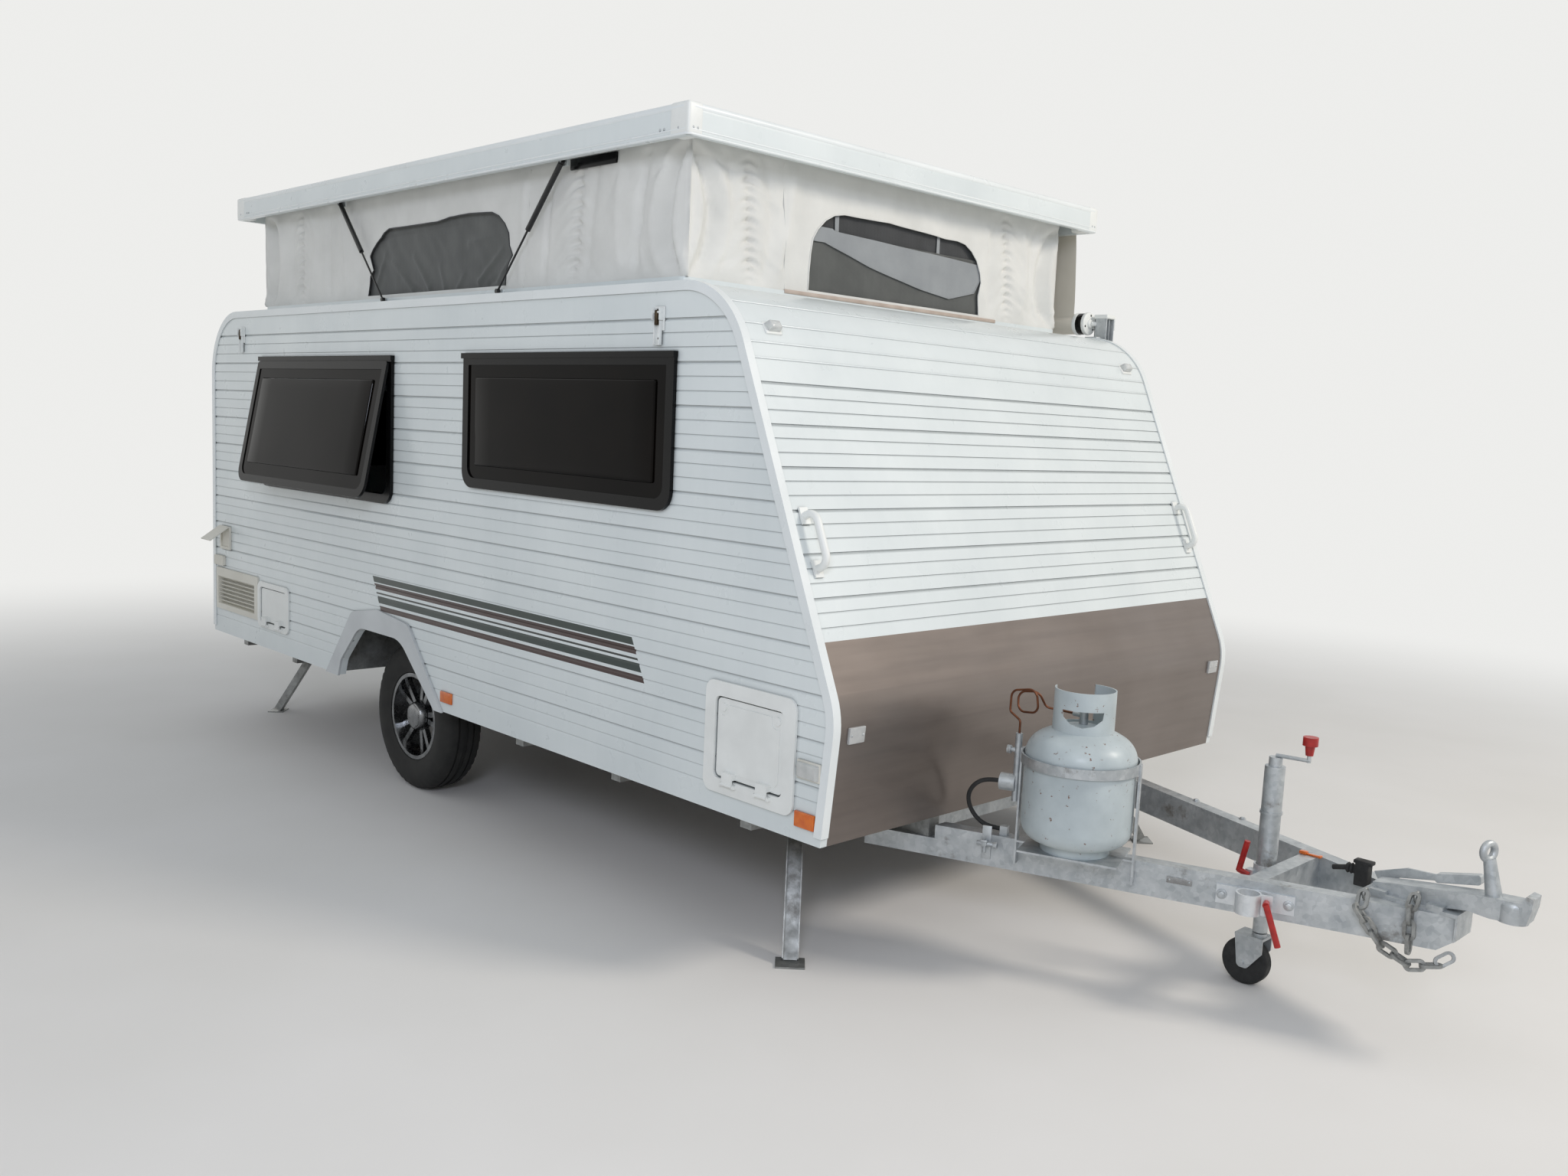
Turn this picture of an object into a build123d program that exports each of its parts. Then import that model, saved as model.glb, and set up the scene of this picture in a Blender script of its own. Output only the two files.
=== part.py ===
from build123d import *
import math
import os

# A pop-top travel caravan on one axle, standing on its wheels, jockey wheel and four corner legs.
# Millimetres. +X towards the coupling, +Y to the door side, +Z up, ground at z = 0.
# Places along X are given ahead of the axle, and every piece is moved by ORIGIN_SHIFT when written,
# so that the origin is on the ground under the middle of the whole length.

os.makedirs("parts", exist_ok=True)

# Driving dimensions of the body
HALF_WIDTH = 1140
WALL = 28
BODY_BOTTOM = 448
BODY_TOP = 2078
REAR_X = -1860
NOSE_BOTTOM_X = 2590
NOSE_BEND_X = 2625
NOSE_BEND_Z = 836
SLOPE_TOP_X = 2096
TOP_RADIUS = 300
NOSE_RADIUS = 250
PANEL_SEAM_Z = 1038
DECK_REAR_X = -1470
DECK_FRONT_X = 1800
INNER_FACE = HALF_WIDTH - WALL

# Floor and chassis
FLOOR_BOTTOM = 460
FLOOR_THICKNESS = 30
RAIL_WIDTH = 50
MAIN_RAIL_Y = 550
MAIN_RAIL_HEIGHT = 100
CROSS_HEIGHT = 56
DRAWBAR_TOP = 404
DRAWBAR_HEIGHT = 102
DRAWBAR_ANGLE = 20.46
DRAWBAR_OUTER_Y = 402
DRAWBAR_REAR_X = 2330
NOSE_PLATE_X = 3962
NOSE_HALF_WIDTH = 60
TIE_BAR_X = 3455
NOSE_CUT = 48

# Running gear
AXLE_HEIGHT = 322
TYRE_RADIUS = 322
TYRE_WIDTH = 185
WHEEL_OUTER_Y = HALF_WIDTH - 113
RIM_RADIUS = 203
WHEEL_CENTRE_Y = WHEEL_OUTER_Y - TYRE_WIDTH / 2
HUB_RADIUS = 55
SPINDLE_RADIUS = 20
SPRING_Y = 680

# Lid, canvas and awning
LID_FRONT_X = 1880
LID_REAR_X = -1554
LID_HALF_WIDTH = HALF_WIDTH - 3
LID_BOTTOM = 2523
LID_DEPTH = 103
LID_SKIN = 40
LID_RIM = 22
RAIL_FRONT_X = 1771
RAIL_REAR_X = -1445
RAIL_HALF_WIDTH = HALF_WIDTH - 96
RAIL_TOP = 2112
RAIL_THICKNESS = 18
CANVAS_THICKNESS = 6
SEAT_GAP = 0.3
AWNING_Y = HALF_WIDTH + 60
AWNING_Z = 2150
AWNING_RADIUS = 44

# The overall reach, for the origin
COUPLING_TIP_X = 4132
REAR_REACH_X = REAR_X - 30
ORIGIN_SHIFT = (COUPLING_TIP_X + REAR_REACH_X) / 2

SIDES = (("right", -1), ("left", 1))
# Larger than anything in the model, for cuts
FAR = 6000


def write(name, shape):
    """Write one node, moved so that the origin is under the middle of the length."""
    export_step(Pos(-ORIGIN_SHIFT, 0, 0) * shape, f"parts/{name}.step")


def block(x, y, z):
    """A box from its (low, high) pairs."""
    size = [high - low for low, high in (x, y, z)]
    middle = [(high + low) / 2 for low, high in (x, y, z)]
    return Pos(*middle) * Box(*size)


def side_face(points, radii):
    """A face in the XZ plane from its corners, each with its own rounding."""
    face = make_face(Plane.XZ * Polyline(*points, close=True))
    for (x, z), radius in zip(points, radii):
        if radius:
            corner = min(face.vertices(), key=lambda v: (v.X - x) ** 2 + (v.Z - z) ** 2)
            face = fillet(corner, radius)
    return face


def across(face, y_low, y_high):
    """Extrude a face that lies in the XZ plane from y_low to y_high."""
    return Pos(0, y_low, 0) * extrude(face, amount=y_high - y_low, dir=(0, 1, 0))


def rounded_panel(x, z, y, radius):
    """A plate with rounded corners that stands in the XZ plane."""
    face = Plane.XZ * RectangleRounded(x[1] - x[0], z[1] - z[0], radius)
    return across(Pos((x[0] + x[1]) / 2, 0, (z[0] + z[1]) / 2) * face, y[0], y[1])


def grown(pair, by):
    """A (low, high) pair made longer at both ends, or shorter where by is negative."""
    return (pair[0] - by, pair[1] + by)


def on_side(side, y_near, y_far):
    """A (low, high) pair in Y for two distances out from the middle on one side."""
    return tuple(sorted((side * y_near, side * y_far)))


def rod(start, end, radius):
    """A round bar between two points."""
    a, b = Vector(*start), Vector(*end)
    return Plane(origin=a, z_dir=b - a) * Cylinder(
        radius, (b - a).length, align=(Align.CENTER, Align.CENTER, Align.MIN))


# Body outline

OUTLINE = (
    (REAR_X, BODY_BOTTOM),
    (REAR_X, BODY_TOP),
    (SLOPE_TOP_X, BODY_TOP),
    (NOSE_BEND_X, NOSE_BEND_Z),
    (NOSE_BOTTOM_X, BODY_BOTTOM),
)
OUTLINE_RADII = (0, TOP_RADIUS, TOP_RADIUS, NOSE_RADIUS, 0)


def body_face(inset=0):
    """The body's side outline, or the same outline pulled in by a wall, still open below."""
    face = side_face(OUTLINE, OUTLINE_RADII)
    if not inset:
        return face
    inner = offset(face, amount=-inset, kind=Kind.INTERSECTION)
    mouth = side_face((
        (REAR_X + inset, BODY_BOTTOM - inset), (REAR_X + inset, BODY_BOTTOM + 2 * inset),
        (NOSE_BOTTOM_X - inset - 1, BODY_BOTTOM + 2 * inset), (NOSE_BOTTOM_X - inset - 1, BODY_BOTTOM - inset)),
        (0, 0, 0, 0))
    return inner + mouth


slope = math.atan2(NOSE_BEND_X - SLOPE_TOP_X, BODY_TOP - NOSE_BEND_Z)


def front_x(z):
    """Where the slanted front is at a height above the bend."""
    return NOSE_BEND_X - (z - NOSE_BEND_Z) * math.tan(slope)


# Windows in the side walls: name, side, x low, x high, z low, z high
WINDOW_RADIUS = 40
WINDOWS = (
    ("right_front", -1, 615, 1872, 1360, 1860),
    ("right_rear", -1, -1249, 50, 1248, 1855),
    ("left_rear", 1, -1249, 50, 1248, 1855),
)
WINDOW_TOP_RADIUS = 12
WINDOW_BOTTOM_RADIUS = 65
WINDOW_FRAME_WIDTH = 38
WINDOW_PROUD = 14
PANE_THICKNESS = 5
OPEN_WINDOW = "right_rear"
SASH_ANGLE = 10.8

DOOR_X = (560, 1190)
DOOR_Z = (500, 2010)
DOOR_GAP = 6
DOOR_RADIUS = 60

BOOT_X = (2124, 2431)
BOOT_Z = (557, 816)
BOOT_FRAME = 46
BOOT_RADIUS = 22

HATCH_X = (-1274, -975)
HATCH_Z = (574, 747)
VENT_X = (-1815, -1300)
VENT_Z = (573, 787)
LOUVRES = 7

ARCH = (
    (-425, BODY_BOTTOM - 5),
    (-400, 520),
    (-231, 690),
    (134, 690),
    (420, BODY_BOTTOM - 5),
)
ARCH_RADII = (0, 60, 120, 160, 0)
SPAT = (
    (-545, BODY_BOTTOM - 4),
    (-300, 752),
    (-59, 790),
    (201, 762),
    (479, BODY_BOTTOM - 4),
)
SPAT_RADII = (0, 60, 0, 60, 0)
SPAT_THICKNESS = 10


# Cladding boards: each is BOARD_PITCH high with a deep groove at its seam and two shallow ones between
BOARD_PITCH = 134.6
RIBS_PER_BOARD = 3
SIDE_SEAM_Z = 1700
FRONT_SEAM_Z = 1779
FRONT_BOARDS = 6
SEAM_GROOVE = (5, 3, 11)
RIB_GROOVE = (2.5, 1, 7)


def groove(plane, along, length, depth, back, foot):
    """A groove's prism: square above, sloping out below. The plane's X points out of the wall, its Y up."""
    section = make_face(plane * Polyline((1, 0), (-depth, 0), (-depth, -back), (0, -foot), (1, -foot), close=True))
    return extrude(section, amount=length, dir=along)


def board_grooves(place, along, length, seams):
    """Grooves of all the boards: place gives the plane at a distance below the first seam."""
    prisms = []
    for board in range(seams):
        for rib in range(RIBS_PER_BOARD):
            size = RIB_GROOVE if rib else SEAM_GROOVE
            down = (board + rib / RIBS_PER_BOARD) * BOARD_PITCH
            prisms.append(groove(place(down), along, length, *size))
    return prisms


top_seam_z = SIDE_SEAM_Z + 2 * BOARD_PITCH
side_seams = int((top_seam_z - BODY_BOTTOM) / BOARD_PITCH)


def side_grooves(side):
    def place(down):
        return Plane(origin=(REAR_X - 10, side * HALF_WIDTH, top_seam_z - down), x_dir=(0, side, 0), z_dir=(side, 0, 0))
    return board_grooves(place, (1, 0, 0), NOSE_BEND_X - REAR_X + 20, side_seams)


def arch_face():
    return side_face(ARCH, ARCH_RADII)


def window_panel(x, z, y, inset=0):
    """A window's plate: nearly square corners above and round ones below, pulled in all round by inset."""
    (x0, x1), (z0, z1) = grown(x, -inset), grown(z, -inset)
    top, bottom = max(WINDOW_TOP_RADIUS - inset / 4, 3), WINDOW_BOTTOM_RADIUS - inset * 0.6
    return across(side_face(((x0, z0), (x0, z1), (x1, z1), (x1, z0)), (bottom, top, top, bottom)), *y)


# The walls part at one board's seam, level with the stripes
SPLIT_SEAM = 8
split_z = top_seam_z - SPLIT_SEAM * BOARD_PITCH


def side_wall(side):
    y = on_side(side, INNER_FACE, HALF_WIDTH)
    cut_y = (y[0] - 5, y[1] + 5)
    wall = across(body_face(), *y)
    wall -= side_grooves(side)
    wall -= across(arch_face(), *cut_y)
    for name, window_side, x0, x1, z0, z1 in WINDOWS:
        if window_side == side:
            wall -= window_panel((x0, x1), (z0, z1), cut_y, WINDOW_FRAME_WIDTH / 2)
    wall -= rounded_panel(BOOT_X, BOOT_Z, cut_y, BOOT_RADIUS)
    if side > 0:
        wall -= rounded_panel(DOOR_X, DOOR_Z, cut_y, DOOR_RADIUS)
    else:
        wall -= rounded_panel(HATCH_X, HATCH_Z, cut_y, BOOT_RADIUS)
        wall -= block(VENT_X, cut_y, VENT_Z)
    upper = wall - block((-FAR, FAR), cut_y, (0, split_z))
    lower = wall - block((-FAR, FAR), cut_y, (split_z - SEAT_GAP, FAR))
    return Compound(upper.solids() + lower.solids())


for side_name, side in SIDES:
    write(f"{side_name}_wall", side_wall(side))

# Front, lower front, rear and roof edge: one bent sheet, split where the real panels meet

shell_face = body_face() - body_face(WALL)
shell_y = (-INNER_FACE, INNER_FACE)
shell = across(shell_face, *shell_y)
seam_cut = Pos(front_x(PANEL_SEAM_Z), 0, PANEL_SEAM_Z) * Rot(0, -math.degrees(slope), 0)
above_seam = seam_cut * Pos(0, 0, FAR / 2) * Box(2 * FAR, FAR, FAR)
nose_zone = block((DECK_FRONT_X, FAR), (-FAR, FAR), (0, FAR))
tail_zone = block((-FAR, DECK_REAR_X), (-FAR, FAR), (0, FAR))
REAR_WINDOW_Y = (-600, 600)
REAR_WINDOW_Z = (1300, 1760)



def front_place(down):
    z = FRONT_SEAM_Z - down * math.cos(slope)
    return Plane(origin=(front_x(z), -INNER_FACE, z), x_dir=(math.cos(slope), 0, math.sin(slope)), z_dir=(0, -1, 0))


front_wall = shell & nose_zone & above_seam
front_wall -= board_grooves(front_place, (0, 1, 0), 2 * INNER_FACE, FRONT_BOARDS)
write("front_wall", front_wall)
write("lower_front_panel", (shell & nose_zone) - above_seam)

rear_hole = Plane.YZ * RectangleRounded(
    REAR_WINDOW_Y[1] - REAR_WINDOW_Y[0] - WINDOW_FRAME_WIDTH,
    REAR_WINDOW_Z[1] - REAR_WINDOW_Z[0] - WINDOW_FRAME_WIDTH, WINDOW_RADIUS)
rear_hole = Pos(REAR_X - 50, 0, sum(REAR_WINDOW_Z) / 2) * extrude(rear_hole, amount=150, dir=(1, 0, 0))
first_rear_seam = SIDE_SEAM_Z
rear_seams = int((first_rear_seam - BODY_BOTTOM) / BOARD_PITCH)


def rear_place(down):
    return Plane(origin=(REAR_X, -INNER_FACE, first_rear_seam - down), x_dir=(-1, 0, 0), z_dir=(0, 1, 0))


rear_wall = (shell & tail_zone) - board_grooves(rear_place, (0, 1, 0), 2 * INNER_FACE, rear_seams)
write("rear_wall", rear_wall - rear_hole)

DECK_HOLE_INSET = 44
deck = block((DECK_REAR_X, DECK_FRONT_X), shell_y, (BODY_TOP - WALL, BODY_TOP))
rail_outer = block((RAIL_REAR_X, RAIL_FRONT_X), (-RAIL_HALF_WIDTH, RAIL_HALF_WIDTH), (BODY_TOP, RAIL_TOP))
rail_outer = fillet(rail_outer.edges().filter_by(Axis.Z), 30)
deck += rail_outer
deck -= block(
    (RAIL_REAR_X + DECK_HOLE_INSET, RAIL_FRONT_X - DECK_HOLE_INSET),
    (-RAIL_HALF_WIDTH + DECK_HOLE_INSET, RAIL_HALF_WIDTH - DECK_HOLE_INSET),
    (BODY_TOP - 2 * WALL, RAIL_TOP + 5))

# Corner trims: an angle that follows the whole outline on each side

TRIM_THICKNESS = 5
TRIM_FLANGE = 26


def corner_trim(side):
    outer = offset(body_face(), amount=TRIM_THICKNESS, kind=Kind.INTERSECTION)
    side_band = across(outer - body_face(TRIM_FLANGE), *on_side(side, HALF_WIDTH, HALF_WIDTH + TRIM_THICKNESS))
    top_band = across(outer - body_face(), *on_side(side, HALF_WIDTH - TRIM_FLANGE, HALF_WIDTH))
    keep = block((-FAR, FAR), (-FAR, FAR), (BODY_BOTTOM + TRIM_FLANGE + 1, FAR))
    return (side_band + top_band) & keep


write("corner_trims", Compound([corner_trim(side) for _, side in SIDES]))

# Floor, with the wheel boxes let into it

BOX_X = (-440, 440)
BOX_TOP = 700
BOX_INNER_Y = HALF_WIDTH - 360
floor_front = NOSE_BOTTOM_X - WALL - 1
floor = block((REAR_X + WALL, floor_front), shell_y, (FLOOR_BOTTOM, FLOOR_BOTTOM + FLOOR_THICKNESS))
for _, side in SIDES:
    floor -= block(BOX_X, on_side(side, BOX_INNER_Y, INNER_FACE + 5), (FLOOR_BOTTOM - 5, FLOOR_BOTTOM + 60))

# Boards of the tunnel boot, which runs across behind the lower front panel
BOOT_BACK_X = 2040
BOOT_ROOF_Z = 900
BOARD = 12
boot_roof_front = NOSE_BEND_X - 3 * WALL
boards_y = grown(shell_y, -SEAT_GAP)
boot_back = block((BOOT_BACK_X, BOOT_BACK_X + BOARD), boards_y, (FLOOR_BOTTOM + FLOOR_THICKNESS, BOOT_ROOF_Z))
boot_roof = block((BOOT_BACK_X, boot_roof_front), boards_y, (BOOT_ROOF_Z, BOOT_ROOF_Z + BOARD))
write("floor", Compound([floor, boot_back, boot_roof]))

BOX_SHEET = 6


def wheel_box(side):
    outer = block(BOX_X, on_side(side, BOX_INNER_Y, INNER_FACE), (FLOOR_BOTTOM, BOX_TOP))
    inner = block(
        (BOX_X[0] + BOX_SHEET, BOX_X[1] - BOX_SHEET),
        on_side(side, BOX_INNER_Y + BOX_SHEET, INNER_FACE + 5),
        (FLOOR_BOTTOM - 5, BOX_TOP - BOX_SHEET))
    return outer - inner


write("wheel_boxes", Compound([wheel_box(side) for _, side in SIDES]))


def wheel_spat(side):
    ring = side_face(SPAT, SPAT_RADII) - arch_face()
    spat = across(ring, *on_side(side, HALF_WIDTH, HALF_WIDTH + SPAT_THICKNESS))
    return spat


write("wheel_spats", Compound([wheel_spat(side) for _, side in SIDES]))

# Chassis: two main rails, cross members with outriggers, spring hangers and leg brackets

CROSS_X = (-1575, -1000, 960, 1560, 2225)
LEG_ANGLE = 31
LEG_PIN_Z = 376
LEG_PIN_RADIUS = 6
LEG_HALF_WIDTH = 26
LEG_EAR = 6
# Corner legs: name, pin x, pin y, direction of the foot in X, in Y
LEGS = (
    ("front_right", 2225, -870, 1, -1),
    ("front_left", 2225, 870, 1, 1),
    ("rear_right", -1575, -700, -1, -1),
    ("rear_left", -1575, 700, -1, 1),
)
HANGER_X = 420


def leg_frame(pin_x, pin_y, foot_x, foot_y):
    """A plane at the leg's pin: X towards the foot along the ground, Z up."""
    return Plane(origin=(pin_x, pin_y, LEG_PIN_Z), x_dir=(foot_x, foot_y, 0), z_dir=(0, 0, 1))


rail_z = (FLOOR_BOTTOM - MAIN_RAIL_HEIGHT, FLOOR_BOTTOM)
cross_z = (FLOOR_BOTTOM - CROSS_HEIGHT, FLOOR_BOTTOM)
chassis = Part()
for _, side in SIDES:
    rail_y = (side * MAIN_RAIL_Y - RAIL_WIDTH / 2, side * MAIN_RAIL_Y + RAIL_WIDTH / 2)
    chassis += block((REAR_X + WALL, NOSE_BOTTOM_X - 2 * WALL), rail_y, rail_z)
for x in CROSS_X:
    chassis += block((x - RAIL_WIDTH / 2, x + RAIL_WIDTH / 2), (-INNER_FACE + 20, INNER_FACE - 20), cross_z)
for _, side in SIDES:
    beam_y = (side * SPRING_Y - 30, side * SPRING_Y + 30)
    chassis += block((CROSS_X[1], CROSS_X[2]), beam_y, cross_z)
for _, pin_x, pin_y, foot_x, foot_y in LEGS:
    frame = leg_frame(pin_x, pin_y, foot_x, foot_y)
    ear_height = FLOOR_BOTTOM - CROSS_HEIGHT - LEG_PIN_Z
    for ear_y in (-1, 1):
        ear = Pos(0, ear_y * (LEG_HALF_WIDTH + 2 + LEG_EAR / 2), (ear_height - 16) / 2)
        chassis += frame * (ear * Box(44, LEG_EAR, ear_height + 16))
    crown = Pos(0, 0, ear_height + 8) * Box(60, 2 * (LEG_HALF_WIDTH + 2 + LEG_EAR), 16)
    chassis += frame * crown
    chassis += frame * (Rot(90, 0, 0) * Cylinder(LEG_PIN_RADIUS, 2 * (LEG_HALF_WIDTH + 2 + LEG_EAR)))

SPRING_EYE_Z = 372
SPRING_DROP = 85
SPRING_WIDTH = 45
SPRING_THICK = 26
SPRING_EYE_RADIUS = 20
for _, side in SIDES:
    for x in (-HANGER_X, HANGER_X):
        for ear_side in (-1, 1):
            ear_y = side * SPRING_Y + ear_side * (SPRING_WIDTH / 2 + 4)
            chassis += block((x - 22, x + 22), (ear_y - 3, ear_y + 3), (SPRING_EYE_Z - 18, cross_z[0] + 2))
        chassis += rod((x, side * SPRING_Y - SPRING_WIDTH / 2 - 7, SPRING_EYE_Z),
                       (x, side * SPRING_Y + SPRING_WIDTH / 2 + 7, SPRING_EYE_Z), 7)
write("chassis", chassis)

# Leaf springs, bowed down between their eyes, and the axle beam with its spindles and back plates


def leaf_spring(side):
    top = ThreePointArc((-HANGER_X, SPRING_EYE_Z), (0, SPRING_EYE_Z - SPRING_DROP), (HANGER_X, SPRING_EYE_Z))
    low = ThreePointArc((-HANGER_X, SPRING_EYE_Z - 10), (0, SPRING_EYE_Z - SPRING_DROP - SPRING_THICK),
                        (HANGER_X, SPRING_EYE_Z - 10))
    ends = Line((-HANGER_X, SPRING_EYE_Z), (-HANGER_X, SPRING_EYE_Z - 10)) + Line(
        (HANGER_X, SPRING_EYE_Z), (HANGER_X, SPRING_EYE_Z - 10))
    face = make_face(Plane.XZ * (top + low + ends))
    y = (side * SPRING_Y - SPRING_WIDTH / 2, side * SPRING_Y + SPRING_WIDTH / 2)
    spring = across(face, *y)
    for x in (-HANGER_X, HANGER_X):
        spring += rod((x, y[0], SPRING_EYE_Z), (x, y[1], SPRING_EYE_Z), SPRING_EYE_RADIUS)
        spring -= rod((x, y[0] - 5, SPRING_EYE_Z), (x, y[1] + 5, SPRING_EYE_Z), 7 + SEAT_GAP)
    return spring


BEAM = 45
BACK_PLATE_Y = WHEEL_CENTRE_Y - 96.5
BACK_PLATE_RADIUS = 125
spring_top = SPRING_EYE_Z - SPRING_DROP
axle = block((-BEAM / 2, BEAM / 2), (-BACK_PLATE_Y, BACK_PLATE_Y), (spring_top, spring_top + BEAM))
for _, side in SIDES:
    axle += rod((0, side * (BACK_PLATE_Y - 4), AXLE_HEIGHT), (0, side * BACK_PLATE_Y, AXLE_HEIGHT), BACK_PLATE_RADIUS)
    axle += rod((0, side * (BACK_PLATE_Y - 40), AXLE_HEIGHT), (0, side * (WHEEL_CENTRE_Y + 8), AXLE_HEIGHT),
                SPINDLE_RADIUS)
    axle += leaf_spring(side)
write("axle", axle)

# Wheels: tyre and five-spoke rim with a domed cap

SPOKES = 5
RIM_WIDTH = 150
WHEEL_FACE_Y = 62
RUN_GAP = 0.5


def tyre(side):
    half = TYRE_WIDTH / 2
    bead = RIM_RADIUS - 14
    section = make_face(FilletPolyline(
        (bead, -half + 12), (TYRE_RADIUS - 55, -half), (TYRE_RADIUS - 8, -half + 8), (TYRE_RADIUS, -half + 30),
        (TYRE_RADIUS, half - 30), (TYRE_RADIUS - 8, half - 8), (TYRE_RADIUS - 55, half), (bead, half - 12),
        radius=6, close=True))
    ring = revolve(Plane.XZ * section, Axis.Z)
    return Pos(0, side * WHEEL_CENTRE_Y, AXLE_HEIGHT) * Rot(90, 0, 0) * ring


def rim(side):
    half = RIM_WIDTH / 2
    bead = RIM_RADIUS - 14 - RUN_GAP
    barrel = Cylinder(bead, RIM_WIDTH) - Cylinder(bead - 9, RIM_WIDTH + 10)
    flange = Pos(0, 0, half - 3) * (Cylinder(RIM_RADIUS - 15, 6) - Cylinder(bead - 16, 8))
    hub = Pos(0, 0, 8) * Cylinder(HUB_RADIUS, 70)
    hub -= Pos(0, 0, -27) * Cylinder(SPINDLE_RADIUS + RUN_GAP, 80)
    cap = Pos(0, 0, 43) * Cone(38, 24, 26, align=(Align.CENTER, Align.CENTER, Align.MIN))
    body = barrel + flange + hub + cap
    reach = bead - 4
    for i in range(SPOKES):
        for twin in (-11, 11):
            spoke = Rot(0, 0, i * 360 / SPOKES + twin) * Pos(reach / 2 + 20, 0, WHEEL_FACE_Y - 32)
            body += spoke * Box(reach - 40, 22, 22)
    body &= Cylinder(bead, 260)
    turn = -90 if side > 0 else 90
    return Pos(0, side * WHEEL_CENTRE_Y, AXLE_HEIGHT) * Rot(turn, 0, 0) * body


for side_name, side in SIDES:
    write(f"tyre_{side_name}", tyre(side))
    write(f"rim_{side_name}", rim(side))

# Drawbar: two rails that meet at the nose plate, and a tie bar between them

drawbar_z = (DRAWBAR_TOP - DRAWBAR_HEIGHT, DRAWBAR_TOP)
drawbar_slope = math.tan(math.radians(DRAWBAR_ANGLE))


def rail_outer_y(x):
    """Distance of the drawbar rail's outer face from the middle, where it crosses x."""
    return DRAWBAR_OUTER_Y - drawbar_slope * (x - 3000)


rail_across = RAIL_WIDTH / math.cos(math.radians(DRAWBAR_ANGLE))
drawbar = Part()
for _, side in SIDES:
    footprint = Polyline(
        (DRAWBAR_REAR_X, side * rail_outer_y(DRAWBAR_REAR_X)),
        (NOSE_PLATE_X, side * rail_outer_y(NOSE_PLATE_X)),
        (NOSE_PLATE_X, side * (rail_outer_y(NOSE_PLATE_X) - rail_across)),
        (DRAWBAR_REAR_X, side * (rail_outer_y(DRAWBAR_REAR_X) - rail_across)),
        close=True)
    drawbar += Pos(0, 0, drawbar_z[0]) * extrude(make_face(footprint), amount=DRAWBAR_HEIGHT, dir=(0, 0, 1))
tie_reach = rail_outer_y(TIE_BAR_X) - rail_across / 2
drawbar += block((TIE_BAR_X - RAIL_WIDTH / 2, TIE_BAR_X + RAIL_WIDTH / 2), (-tie_reach, tie_reach), drawbar_z)
drawbar += block((NOSE_PLATE_X - 6, NOSE_PLATE_X), (-NOSE_HALF_WIDTH, NOSE_HALF_WIDTH),
                 (drawbar_z[0], DRAWBAR_TOP))
rear_tie_y = rail_outer_y(DRAWBAR_REAR_X) - rail_across / 2
drawbar += block((DRAWBAR_REAR_X, DRAWBAR_REAR_X + 40), (-rear_tie_y, rear_tie_y), (drawbar_z[0], drawbar_z[0] + 56))
drawbar -= block((DRAWBAR_REAR_X - 5, NOSE_BOTTOM_X - 2 * WALL + 20), (-MAIN_RAIL_Y - 120, MAIN_RAIL_Y + 120),
                 (FLOOR_BOTTOM - MAIN_RAIL_HEIGHT, DRAWBAR_TOP + 5))
nose_corner = make_face(Plane.XZ * Polyline(
    (NOSE_PLATE_X - NOSE_CUT, drawbar_z[0] - 1), (NOSE_PLATE_X + 1, drawbar_z[0] - 1),
    (NOSE_PLATE_X + 1, drawbar_z[0] + NOSE_CUT * 0.8), close=True))
drawbar -= across(nose_corner, -200, 200)
write("drawbar", drawbar)

# Coupling on the nose, with its ball head, handle post and loop

BALL_X = 4078
SOCKET_RADIUS = 25.2
SOCKET_TOP = 470
HEAD_RADIUS = 40
BASE_PLATE = 10
CASTING_HALF = 33
HEAD_HEIGHT = 62
# Side outline of the casting: x, z
CASTING = (
    (3720, DRAWBAR_TOP + BASE_PLATE), (3720, 436), (3800, 450), (3906, 464), (3990, 476), (4046, 480),
    (4104, 484), (4114, 506), (4132, 502), (4130, 470), (4120, 427), (4030, 421), (3975, 426),
    (3900, DRAWBAR_TOP + BASE_PLATE),
)
LUG_X = (3745, 3900)
POST_FOOT = (4028, 0, 468)
POST_TOP = (4006, 0, 574)
LOOP_RADIUS = 22
LOOP_BAR = 10
LOOP_TURN = 70
coupling = block((3700, NOSE_PLATE_X), (-62, 62), (DRAWBAR_TOP, DRAWBAR_TOP + BASE_PLATE))
coupling += across(side_face(CASTING, (0,) * len(CASTING)), -CASTING_HALF, CASTING_HALF)
for lug_x in LUG_X:
    coupling += block((lug_x - 22, lug_x + 22), (-62, 62), (DRAWBAR_TOP + BASE_PLATE, DRAWBAR_TOP + 2 * BASE_PLATE))
socket_floor = SOCKET_TOP - 49
head = Pos(BALL_X, 0, socket_floor) * Cylinder(HEAD_RADIUS, HEAD_HEIGHT, align=(Align.CENTER, Align.CENTER, Align.MIN))
coupling += fillet(head.edges().sort_by(Axis.Z)[-1], 18)
coupling -= Pos(BALL_X, 0, socket_floor - 10) * Cylinder(
    SOCKET_RADIUS, SOCKET_TOP - socket_floor + 10, align=(Align.CENTER, Align.CENTER, Align.MIN))
post_line = Vector(*POST_TOP) - Vector(*POST_FOOT)
coupling += Plane(origin=Vector(*POST_FOOT), z_dir=post_line) * Cone(
    22, 16, post_line.length, align=(Align.CENTER, Align.CENTER, Align.MIN))
loop = Rot(0, 0, LOOP_TURN) * Rot(90, 0, 0) * Torus(LOOP_RADIUS, LOOP_BAR)
coupling += Pos(POST_TOP[0] - 4, 0, POST_TOP[2] + LOOP_RADIUS - 2) * loop

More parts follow.
